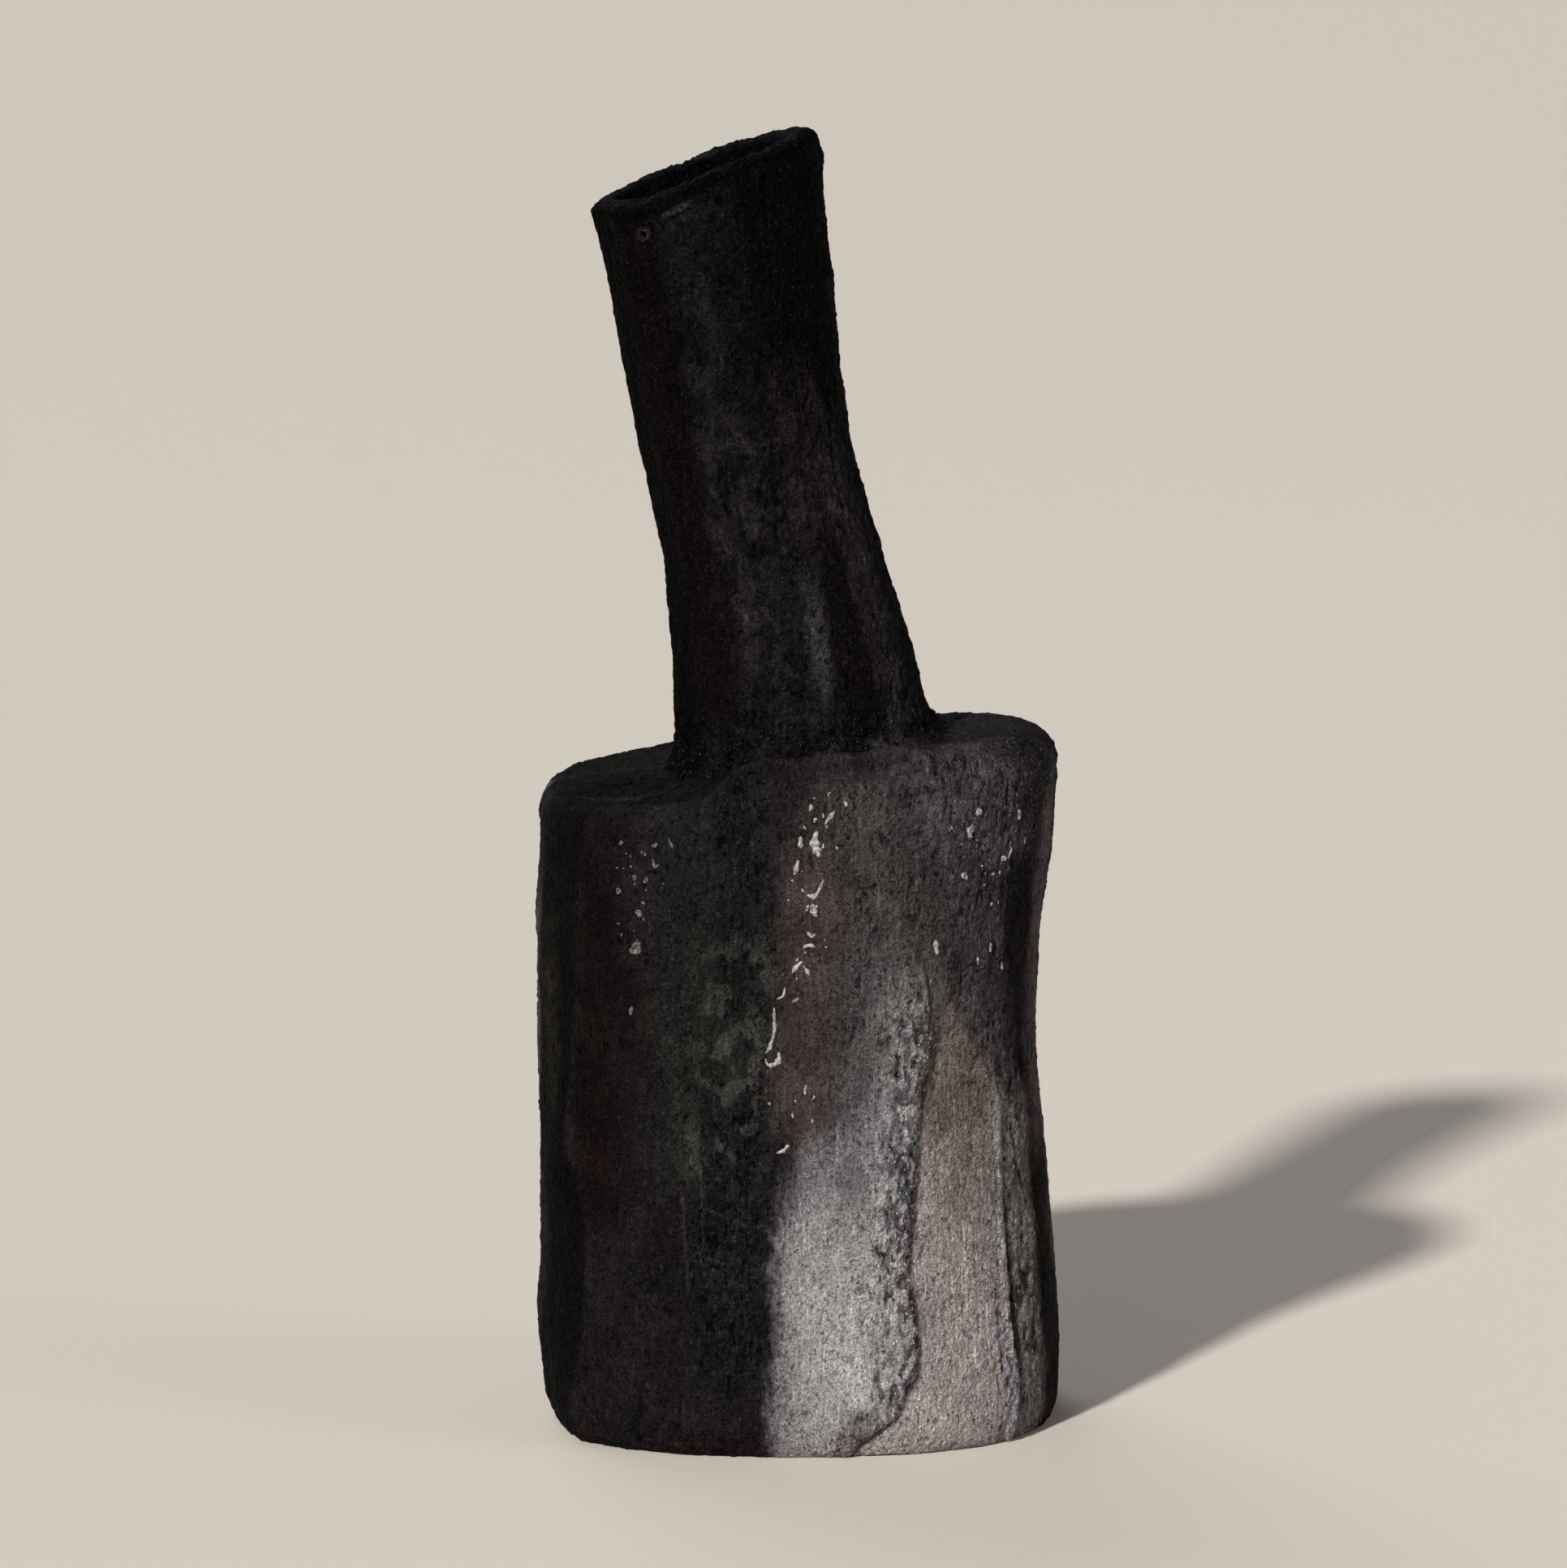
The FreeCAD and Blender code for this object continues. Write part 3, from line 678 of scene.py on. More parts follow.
def flake_spread(points, local):
    """Below 1 on the small flake under the mouth's rim."""
    away = points - surface_spot(255.0, NECK_TOP.z) - np.array([-0.8, 0, 2.4])
    across, rise = away[..., 0] / 3.5, (away[..., 2] - 0.3 * away[..., 0]) / 1.1
    return np.hypot(across, rise) + 0.02 * np.abs(away[..., 1]) + 0.35 * noise(local, 1.6, 57)


def surface_spot(angle, height):
    """The neck's plain surface at an angle and a centre height."""
    return ring_points(rings_at(NECK_RINGS, np.array([height])), np.array([angle]))[0, 0]


def lifted(points):
    """Moves the shoulder's front edge up or down, as the potter left it."""
    places, lifts = np.array(SHOULDER_LIFT, float).T
    lift = np.interp(points[..., 0], places, lifts)
    front = smooth(-20, -46, points[..., 1])
    near_top = smooth(118, 152, points[..., 2])
    dent_away = np.hypot((points[..., 0] + 38) / 17, (points[..., 1] + 26) / 16)
    dent = -2.6 * smooth(1.2, 0.2, dent_away) * smooth(144, 151, points[..., 2])
    moved = points.copy()
    moved[..., 2] += lift * front * near_top + dent
    return moved


# ---------------------------------------------------------------- grids to meshes
def normals(points):
    """Unit normals of a grid of points, outwards where rows rise and angles grow."""
    normal = np.cross(np.gradient(points, axis=1), np.gradient(points, axis=0))
    return normal / np.maximum(np.linalg.norm(normal, axis=-1, keepdims=True), 1e-9)


def stretches(inside):
    """Runs of rows that share one side of a piece, as (first, end) pairs."""
    jumps = np.flatnonzero(np.abs(np.diff(inside)) > 0.9) + 1
    ends = [0] + [int(k) for k in jumps if min(k, len(inside) - k) > 1] + [len(inside)]
    return list(zip(ends[:-1], ends[1:]))


def front_crest(plain, local):
    """Where the shoulder's front edge stands up in a sharp, lumpy crest, 0 to 1."""
    place = smooth(-22, -13, plain[..., 0]) * smooth(46, 34, plain[..., 0])
    return place * smooth(-22, -40, plain[..., 1]) * (1 + 0.6 * noise(local, 4.5, 74))


def shaped(rows, angles, weights, inside, is_neck, crest=None):
    """The skin on a grid of rows by angles: its points with their relief, its colour with painted light and
    shade in it, and its wear and glints.

    Weights is how much relief each row has, inside is 1 for rows on the pot's inner side, and crest is
    how far each row's front stands out, in mm. The wear and glints are height, roughness, scored lines and
    the share of crystal specks painted pale as glints.
    """
    angles = np.broadcast_to(angles, (len(rows), np.shape(angles)[-1]))
    plain = ring_points(rows, angles)
    facing = np.concatenate([normals(plain[a:b]) for a, b in stretches(inside)])
    local = plain.copy()
    local[..., 0] -= rows[:, :1]
    way = way_round(angles)
    weights = np.asarray(weights, float)[:, None]
    if is_neck:
        colour, rough, glints = neck_paint(plain, local, angles)
        marks, cuts = neck_marks(plain, local, angles)
        lines = np.zeros(way.shape)
    else:
        colour, rough, glints = body_paint(plain, local, way)
        marks, cuts = edge_marks(local, way, plain[..., 2])
        lines = scratches(way, plain[..., 2])
    fine = grain(local, rough) - 0.12 * lines - cuts
    height = (unevenness(plain) + marks + fine) * weights
    if crest is not None:
        height = height + np.asarray(crest)[:, None] * front_crest(plain, local)
    points = lifted(plain + facing * height[..., None])
    points[..., 2] = np.maximum(points[..., 2], 0)
    # Inner sides darkened: painted shade inside the pot.
    colour = colour * mix(1.0, INSIDE_SHADE, np.asarray(inside, float))[:, None, None]
    worn = np.stack([np.clip(0.5 + fine, 0, 1), rough, lines, glints], axis=-1)
    return points, np.concatenate([colour, np.ones(colour.shape[:-1] + (1,))], axis=-1), worn


class Piece:
    """Grids of points joined into one closed mesh, with its paint."""

    def __init__(self, name):
        self.name = name
        self.points, self.tint, self.worn, self.faces = [], [], [], []
        self.count = 0

    def add_grid(self, points, tint, worn):
        """Adds the points of a grid and returns their numbers, in the grid's shape."""
        numbers = self.count + np.arange(points.shape[0] * points.shape[1]).reshape(points.shape[:2])
        self.points.append(points.reshape(-1, 3))
        self.tint.append(tint.reshape(-1, 4))
        self.worn.append(worn.reshape(-1, 4))
        self.count += numbers.size
        return numbers

    def join(self, numbers, around):
        """Quads over a grid of point numbers, closed round its columns if it goes all the way."""
        if around:
            numbers = np.concatenate([numbers, numbers[:, :1]], axis=1)
        quads = [numbers[:-1, :-1], numbers[:-1, 1:], numbers[1:, 1:], numbers[1:, :-1]]
        self.faces.append(np.stack([q.ravel() for q in quads], axis=-1))

    def build(self, material, sharp_deg=50.0):
        """The Blender object, smooth but for its real edges."""
        mesh = bpy.data.meshes.new(self.name)
        points = np.concatenate(self.points) * MM
        corners, sizes = corners_and_sizes(np.concatenate(self.faces))
        mesh.vertices.add(len(points))
        mesh.vertices.foreach_set("co", points.astype(np.float32).ravel())
        mesh.loops.add(len(corners))
        mesh.loops.foreach_set("vertex_index", corners.astype(np.int32))
        mesh.polygons.add(len(sizes))
        starts = np.concatenate([[0], np.cumsum(sizes)[:-1]])
        mesh.polygons.foreach_set("loop_start", starts.astype(np.int32))
        for label, values in (("tint", self.tint), ("worn", self.worn)):
            layer = mesh.color_attributes.new(label, "FLOAT_COLOR", "POINT")
            layer.data.foreach_set("color", np.concatenate(values).astype(np.float32).ravel())
        mesh.update(calc_edges=True)
        mesh.validate()
        mesh.shade_smooth()
        mesh.set_sharp_from_angle(angle=math.radians(sharp_deg))
        mesh.materials.append(material)
        made = bpy.data.objects.new(self.name, mesh)
        bpy.context.scene.collection.objects.link(made)
        return made


def corners_and_sizes(faces):
    """Corner numbers and sizes of faces. Quads with two equal corners become triangles."""
    thin = (faces[:, 0] == faces[:, 1]) | (faces[:, 2] == faces[:, 3])
    found = [list(dict.fromkeys(face)) for face in faces[thin].tolist()]
    triangles = [face for face in found if len(face) == 3]
    corners = np.concatenate([faces[~thin].ravel(), np.array(triangles, int).ravel()])
    return corners, np.repeat([4, 3], [np.count_nonzero(~thin), len(triangles)])


def tube_piece(node, rows, weights, inside, columns, material, is_neck, crest=None):
    """A closed ring of clay: rows run up the outside, over the top and down the inside, all round."""
    angles = np.linspace(0, 360, columns, endpoint=False)
    piece = Piece(node + "_skin")
    numbers = piece.add_grid(*shaped(rows, angles, weights, inside, is_neck, crest))
    piece.join(np.concatenate([numbers, numbers[:1]]), around=True)
    return finish_piece(piece.build(material), node)


def finish_piece(made, node):
    """Puts a piece on the root body in place of its CAD node."""
    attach(made, "root")
    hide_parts(node)
    frame_slot(node)
    return made


def frame_slot(node):
    """The record's material slot of a CAD node."""
    return next(s["material_slot"] for s in frame["record"]["subparts"] if s["node"] == node)


# ---------------------------------------------------------------- the pieces of clay
WALL_SLABS = (
    # node, the corners it goes from and to, columns
    ("wall_slab_front", "front_left", "front_right", 262),
    ("wall_slab_right", "front_right", "back_right", 196),
    ("wall_slab_back", "back_right", "back_left", 220),
    ("wall_slab_left", "back_left", "front_left", 180),
)
WALL_ROWS, INNER_ROWS = 330, 24
BASE_COLUMNS, SHOULDER_COLUMNS, COLLAR_COLUMNS, NECK_COLUMNS = 700, 640, 520, 380
INNER_RELIEF = 0.3      # how much relief the neck's inner side has
STRAIGHT_SEAM_Z = 80    # above this the front right joint stays upright, and leaves the seam on the front


def seam_angle(corner, height):
    """The angle of a corner joint's outer edge at each height."""
    if corner == "front_right":
        return angle_at_way(line_way(SEAM_LINE, np.minimum(height, STRAIGHT_SEAM_Z)))
    if corner == "front_left":
        return angle_at_way(line_way(LEFT_EDGE_LINE, height))
    places = np.stack([height, 0 * height, 0 * height], axis=-1)
    return CORNERS[corner] + SCARF_HALF_DEG + 1.2 * noise(places, 30, 81)


def wall_slab(node, start, end, columns, material):
    """One slab of the body's wall, from one corner joint to the next."""
    outer = rings_between(WALL_RINGS, WALL_FOOT.z, WALL_HEAD.z, WALL_ROWS)
    inner = shrunk(rings_between(WALL_RINGS, WALL_HEAD.z, WALL_FOOT.z, INNER_ROWS), WALL)
    shares = np.linspace(0, 1, columns)
    first, last = seam_angle(start, outer[:, 1]), seam_angle(end, outer[:, 1])
    outer_angles = first[:, None] + ((last - first) % 360)[:, None] * shares
    inner_first, turn = CORNERS[start] - SCARF_HALF_DEG, (CORNERS[end] - CORNERS[start]) % 360
    piece = Piece(node + "_skin")
    ones, zeros = np.ones(WALL_ROWS), np.zeros(WALL_ROWS)
    outside = piece.add_grid(*shaped(outer, outer_angles, ones, zeros, False))
    inner_angles = inner_first + turn * shares
    inside = piece.add_grid(*shaped(inner, inner_angles, zeros[:INNER_ROWS], ones[:INNER_ROWS], False))
    piece.join(np.concatenate([outside, inside, outside[:1]]), around=False)
    nearest = np.round(np.linspace(INNER_ROWS - 1, 0, WALL_ROWS)).astype(int)
    start_strip = np.stack([inside[nearest, 0], outside[:, 0]], axis=1)
    end_strip = np.stack([outside[:, -1], inside[nearest, -1]], axis=1)
    piece.join(start_strip, around=False)
    piece.join(end_strip, around=False)
    return finish_piece(piece.build(material), node)


def base_slab(material):
    """The flat bottom with its rounded foot."""
    foot = cubic((0.0, 0.3, 0.55, 0.78, 1.0), FOOT_RINGS, np.linspace(0, 1, 26))
    shares = np.array([0.001, 0.25, 0.5, 0.75, 0.92, 0.985])
    under, over = copies(foot[0], len(shares)), copies(foot[-1], len(shares))
    under[:, REACHES] *= shares[:, None]
    over[:, REACHES] *= shares[::-1, None]
    rows = np.concatenate([under, foot, over])
    row = np.arange(len(rows)) - len(under)
    weights = smooth(0, 6, row) * (row < len(foot))
    inside = 1.0 * (row >= len(foot))
    angles = np.linspace(0, 360, BASE_COLUMNS, endpoint=False)
    piece = Piece("base_slab_skin")
    piece.join(piece.add_grid(*shaped(rows, angles, weights, inside, False)), around=True)
    made = piece.build(material)
    edit_mesh(made, fill_poles)
    return finish_piece(made, "base_slab")


def edit_mesh(made, change):
    """Puts a made piece's mesh through one change."""
    shape = bmesh.new()
    shape.from_mesh(made.data)
    change(shape)
    shape.to_mesh(made.data)
    shape.free()


def fill_poles(shape):
    """Fills the two small holes left in the middle of a disc's rows."""
    bmesh.ops.holes_fill(shape, edges=[e for e in shape.edges if e.is_boundary], sides=0)


def drop_loose_points(shape):
    """Deletes points that no face uses."""
    bmesh.ops.delete(shape, geom=[v for v in shape.verts if not v.link_faces], context="VERTS")


def shoulder_rows(count):
    """Cross-sections over the shoulder's rounded edge, from the wall's head to its flat top."""
    turn = np.linspace(0, math.pi / 2, count)
    pull = 1 - np.cos(turn)
    rows = copies(WALL_HEAD, count)
    rows[:, REACHES] -= pull[:, None] * (SHOULDER_ROUND, SHOULDER_ROUND_RIGHT, SHOULDER_ROUND)
    return raised(rows, np.sin(turn) * SHOULDER_THICK)


def shoulder_slab(material):
    """The tilted top of the body, with the hole under the neck."""
    edge = shoulder_rows(34)
    hole_top = shrunk(NECK_FOOT, NECK_WALL)[0]
    top = blend_rows(edge[-1], shrunk(NECK_FOOT, -1.0)[0], np.linspace(0, 1, 56)[1:])
    under_neck = blend_rows(top[-1], hole_top, np.linspace(0, 1, 4)[1:])
    hole = raised(copies(hole_top, 6), np.linspace(0, -SHOULDER_THICK, 7)[1:])
    under = blend_rows(hole[-1], edge[0], np.linspace(0, 1, 12)[1:-1])
    rows = np.concatenate([edge, top, under_neck, hole, under])
    outside = len(edge) + len(top)
    inside = np.repeat([0.0, 1.0], [outside, len(rows) - outside])
    crest = np.zeros(len(rows))
    crest[:len(edge)] = CREST_HEIGHT * np.exp(-((np.linspace(0, 90, len(edge)) - 50) / 14) ** 2)
    return tube_piece("shoulder_slab", rows, 1 - inside, inside, SHOULDER_COLUMNS, material, False, crest)


def neck_collar(material):
    """The luting coil round the foot of the neck: a rough concave fillet, lumpy along its edge."""
    up = np.linspace(0, 1, 30)
    lift_up = -0.9 + (COLLAR_HEIGHT + 1.5) * up
    reach = COLLAR_REACH * (1 - up) ** 2.1 + 0.35 - 1.3 * smooth(0.9, 1.0, up)
    outside = shrunk(raised(copies(NECK_FOOT, len(up)), lift_up), -reach + 0.9 * up)
    inside = shrunk(outside[::-5], 2.2)
    inside[:, REACHES] = np.minimum(inside[:, REACHES], np.array(NECK_FOOT[REACHES]) - 1.2)
    rows = np.concatenate([outside, inside])
    is_inside = np.repeat([0.0, 1.0], [len(outside), len(inside)])
    weights = 1.1 * (1 - is_inside)
    return tube_piece("neck_collar_coil", rows, weights, is_inside, COLLAR_COLUMNS, material, True)


def neck_course(node, low, high, outer_rows, inner_rows, material):
    """One course of the neck, between two heights of its centre line."""
    outer = rings_between(NECK_RINGS, low, high, outer_rows)
    inner = shrunk(rings_between(NECK_RINGS, high, low, inner_rows), NECK_WALL)
    inside = np.repeat([0.0, 1.0], [outer_rows, inner_rows])
    weights = mix(1.0, INNER_RELIEF, inside)
    return tube_piece(node, np.concatenate([outer, inner]), weights, inside, NECK_COLUMNS, material, True)


def rim_coil(material):
    """The lip of the mouth: nearly flat on top, with rounded edges."""
    turn = np.linspace(0, math.pi, 44)
    straight, half = 2.8, RIM_WALL / 2
    over = np.sign(np.cos(turn)) * np.abs(np.cos(turn)) ** 0.8
    lift_up = np.concatenate([
        np.linspace(0, straight, 8)[:-1],
        straight + (RIM_HEIGHT - straight) * np.sin(turn).clip(0, 1) ** 0.6,
        np.linspace(straight, 0, 8)[1:],
    ])
    inset = np.concatenate([np.full(7, 0.0), half - half * over, np.full(7, RIM_WALL)])
    inset[-3:] = np.linspace(RIM_WALL, NECK_WALL, 3)
    rows = shrunk(raised(copies(NECK_TOP, len(inset)), lift_up), inset)
    inside = smooth(0.4, 1.0, inset / RIM_WALL)
    weights = mix(1.0, INNER_RELIEF, inside)
    return tube_piece("rim_coil", rows, weights, inside, NECK_COLUMNS, material, True)


# ---------------------------------------------------------------- drops and runs of white slip
# Sideways place, height, width, length, and 1 for a burst bubble that dried as a ring.
SLIP_DROPS = (
    (4, 143, 0.9, 1.1, 0), (3, 145.5, 0.9, 1.7, 0), (7.5, 149, 0.9, 1.3, 0), (11.5, 146.5, 0.8, 1.3, 0),
    (3.5, 126, 2.2, 1.9, 1), (1.5, 85, 0.9, 1.8, 0), (-39.5, 142, 1.1, 1.1, 1),
    (-38.5, 139.5, 0.5, 0.5, 0), (-40.5, 136, 0.6, 0.5, 0), (-39, 136, 0.5, 0.5, 0),
    (-37.5, 136.5, 0.8, 0.7, 0), (-36.5, 134, 1.3, 1.4, 1), (-34, 133.5, 1.5, 1.5, 1),
    (-32, 142, 1.3, 1.4, 1), (-28.5, 148, 1.3, 1.2, 1), (-34.5, 128, 1, 1, 0),
    (-35.5, 125.5, 1.9, 1.9, 1), (-40, 130.5, 1.4, 1.4, 1), (-36.5, 117, 3.4, 2.8, 1),
    (-38, 102.5, 1, 2.2, 0), (43, 148, 1.6, 2.4, 0), (39.5, 133, 1.5, 2.2, 1), (52, 146, 1.4, 2.6, 1),
    (48.5, 136.5, 2, 1.2, 0), (-13.5, 152, 1.6, 1.8, 1), (53, 139.5, 0.9, 1.4, 0), (-22.5, 148, 1.3, 1.6, 1),
)
# Runs of slip, as (sideways place, height, width) points along each.
SLIP_RUNS = (
    ((4.5, 141, 0.7), (4, 139.5, 1.9), (4, 138, 2.4), (4.5, 137, 1.7), (5, 136, 1)),
    ((0.5, 140, 0.8), (0.5, 138.5, 1.4), (0.5, 137.5, 0.8)),
    ((0, 135.5, 0.8), (-0.5, 134, 1.3), (-1, 132.5, 0.8)),
    ((6.5, 142.5, 0.9), (8, 144, 1.1), (9, 145, 0.5)),
    ((6, 132, 0.4), (5, 130, 0.8), (3.5, 128.5, 1.2), (2, 129, 0.8)),
    ((4.5, 127, 0.5), (3.5, 125.5, 1), (4.5, 124.5, 0.6)),
    ((2, 121.5, 0.6), (3, 120.5, 0.9), (4, 121, 0.5)),
    ((1, 118, 0.7), (2.5, 118.5, 1.2), (4, 118, 0.6)),
    ((1, 115, 0.5), (-0.5, 113.5, 1.3), (-1.5, 112, 0.6)),
    ((1, 114, 0.5), (2, 112.5, 1), (2.5, 111.5, 0.7)),
    ((-1.5, 105.5, 0.5), (-0.5, 106, 0.9), (0, 106.5, 0.4)),
    ((-3, 109, 0.3), (-3.5, 107, 0.6), (-5, 106, 0.5)),
    ((-5.5, 104.5, 0.5), (-5.5, 101.5, 0.9), (-5.5, 98.5, 0.8), (-6.5, 95, 1), (-7.5, 93.5, 0.8)),
    ((-7.5, 92.5, 0.5), (-7, 91, 0.9), (-5.5, 91, 1.4), (-4.5, 92, 1.6), (-4.5, 94, 0.8)),
    ((-5, 70.5, 0.6), (-3.5, 71, 1.3), (-3, 71.5, 0.8), (-2, 72.5, 1.3)),
    ((-32.5, 139, 0.5), (-32, 137, 1.1), (-31, 137.5, 0.7)),
    ((-29, 144, 0.5), (-28, 141.5, 0.9)),
    ((41.5, 145, 0.8), (41, 143, 1.8), (41, 141.5, 0.9)),
    ((32, 119, 0.9), (32, 117, 1.3), (32.5, 115.5, 1)),
    ((41.5, 114, 0.5), (41.5, 112, 0.8)),
    ((44.5, 117, 0.4), (44.5, 114.5, 0.8)),
    ((50, 140.5, 0.4), (50, 138, 0.6), (49.5, 136, 0.8)),
    ((47, 112, 0.5), (47, 110, 0.8)),
)
SPATTER_CENTRES = (
    (1.5, 134), (2, 122), (-35.5, 134), (-36, 124), (40, 140), (45, 132), (-1, 80), (5, 143),
)
SPECKS_EACH = 7


def spatter():
    """Small specks of slip thrown about the larger drops."""
    draw = np.random.default_rng(SEED + 1)
    specks = []
    for place, height in SPATTER_CENTRES:
        for _ in range(SPECKS_EACH):
            size = draw.uniform(0.3, 0.7)
            at = (place + draw.normal(0, 2.8), height + draw.normal(0, 4.5))
            specks.append((*at, size, size * draw.uniform(1, 1.8), 0))
    return specks


def wall_points(way, height):
    """Points of the plain wall at scattered places round it and heights."""
    angles = angle_at_way(way)
    place = np.interp(angles, GIRTH_ANGLES, PLACE_AT_ANGLE)
    centre = height.copy()
    for _ in range(4):
        tilt = np.radians(rings_at(WALL_RINGS, centre)[:, 2])
        centre = height - place * np.tan(tilt)
    return ring_points(rings_at(WALL_RINGS, centre), angles[:, None])[:, 0]


def on_wall(way, height):
    """Points of the shaped wall at scattered places, with their normals."""
    step = 0.4
    plain, beside, above = (wall_points(way + a, height + b) for a, b in ((0, 0), (step, 0), (0, step)))
    normal = np.cross(beside - plain, above - plain)
    normal /= np.linalg.norm(normal, axis=-1, keepdims=True)
    around = way_round(angle_at_way(way))
    marks, cuts = edge_marks(plain, around, plain[:, 2])
    rough = body_paint(plain, plain, around)[1]
    out = unevenness(plain) + marks - cuts + grain(plain, rough)
    return plain + normal * out[:, None], normal


PLACE_AT_ANGLE = ring_points(np.array([MIDDLE_RING], float), GIRTH_ANGLES)[0, :, 0]
DROP_RINGS, DROP_SIDES = 7, 22
DROP_SUNK, RUN_SUNK = 0.25, 0.2     # how far the undersides are sunk into the clay


def slip_brightness(place):
    """How bright the slip is at a sideways place: darkened on the left as painted shade, full in the middle,
    and a little darker on the right.
    """
    return 0.30 + 0.70 * smooth(-30, -8, place) - 0.15 * smooth(20, 44, place)


def slip_drop(piece, place, height, width, length, is_ring, seed):
    """One dried drop: a low dome, or a ring, whose edge follows the clay under it."""
    turn = np.linspace(0, 2 * math.pi, DROP_SIDES, endpoint=False)
    out = np.linspace(0, 1, DROP_RINGS)
    ragged = 1 + 0.22 * np.sin(2 * turn + seed) + 0.14 * np.sin(3 * turn + 2.3 * seed)
    reach = out[:, None] * ragged
    flat_way = way_at_place(place, height) + width / 2 * reach * np.cos(turn)
    flat_up = height + length / 2 * reach * np.sin(turn)
    under, normal = on_wall(flat_way.ravel(), flat_up.ravel())
    rise = 0.34 * min(width, 2.6)
    dome = rise * np.sqrt(np.clip(1 - out ** 2, 0, 1))
    if is_ring:
        dome = rise * (0.1 + 0.9 * smooth(0.40, 0.0, np.abs(out - 0.70)))
    swell = 0.75 + 0.45 * np.sin(turn + 1.7 * seed) * (1.0 if is_ring else 0.4)
    rises = dome[:, None] * swell
    rises[-1] = -DROP_SUNK
    top = under + normal * rises.reshape(-1, 1)
    bottom = under - normal * DROP_SUNK
    grid_shape = (DROP_RINGS, DROP_SIDES)
    blank = np.full(grid_shape + (4,), slip_brightness(place))
    upper = piece.add_grid(lifted(top).reshape(grid_shape + (3,)), blank, blank)
    lower = piece.add_grid(lifted(bottom).reshape(grid_shape + (3,))[:-1], blank[:-1], blank[:-1])
    upper[0], lower[0] = upper[0, 0], lower[0, 0]
    piece.join(upper[::-1], around=True)
    piece.join(np.concatenate([lower, upper[-1:]]), around=True)


def slip_run(piece, path, seed):
    """One dried run: a low ridge along its path, closed underneath and at both ends."""
    along = np.linspace(0, len(path) - 1, 6 * len(path) + 1)
    place, height, width = cubic(np.arange(len(path)), path, along).T
    share = 2 * along / along[-1] - 1
    half = width / 2 * np.sqrt(1 - share ** 6) * (1 + 0.22 * np.sin(5 * along + seed))
    way = way_at_place(place, height)
    step = np.stack([np.gradient(way), np.gradient(height)])
    step /= np.linalg.norm(step, axis=0)
    across = np.concatenate([np.linspace(-1, 1, 7), np.linspace(1, -1, 7)[1:-1]])
    over = np.repeat([1.0, 0.0], [7, 5])
    flat_way = way[:, None] + (step[1] * half)[:, None] * across
    flat_up = height[:, None] - (step[0] * half)[:, None] * across
    under, normal = on_wall(flat_way.ravel(), flat_up.ravel())
    crown = np.sqrt(np.clip(1 - across ** 2, 0, 1)) * over * (1 + 0.3 * np.sin(2.2 * across + seed))
    rises = 0.62 * half[:, None] * crown - RUN_SUNK * (1 - over * (np.abs(across) < 1))
    points = lifted(under + normal * rises.reshape(-1, 1)).reshape(flat_way.shape + (3,))
    blank = np.full(flat_way.shape + (4,), slip_brightness(place[0]))
    numbers = piece.add_grid(points, blank, blank)
    numbers[0], numbers[-1] = numbers[0, 0], numbers[-1, 0]
    piece.join(numbers, around=True)


def slip_drops(material):
    """All the drops, runs and specks of white slip."""
    piece = Piece("slip_drops")
    for k, drop in enumerate([*SLIP_DROPS, *spatter()]):
        slip_drop(piece, *drop, seed=k)
    for k, path in enumerate(SLIP_RUNS):
        slip_run(piece, path, seed=k)
    made = piece.build(material, sharp_deg=180.0)
    edit_mesh(made, drop_loose_points)
    return finish_piece(made, "slip_beads")


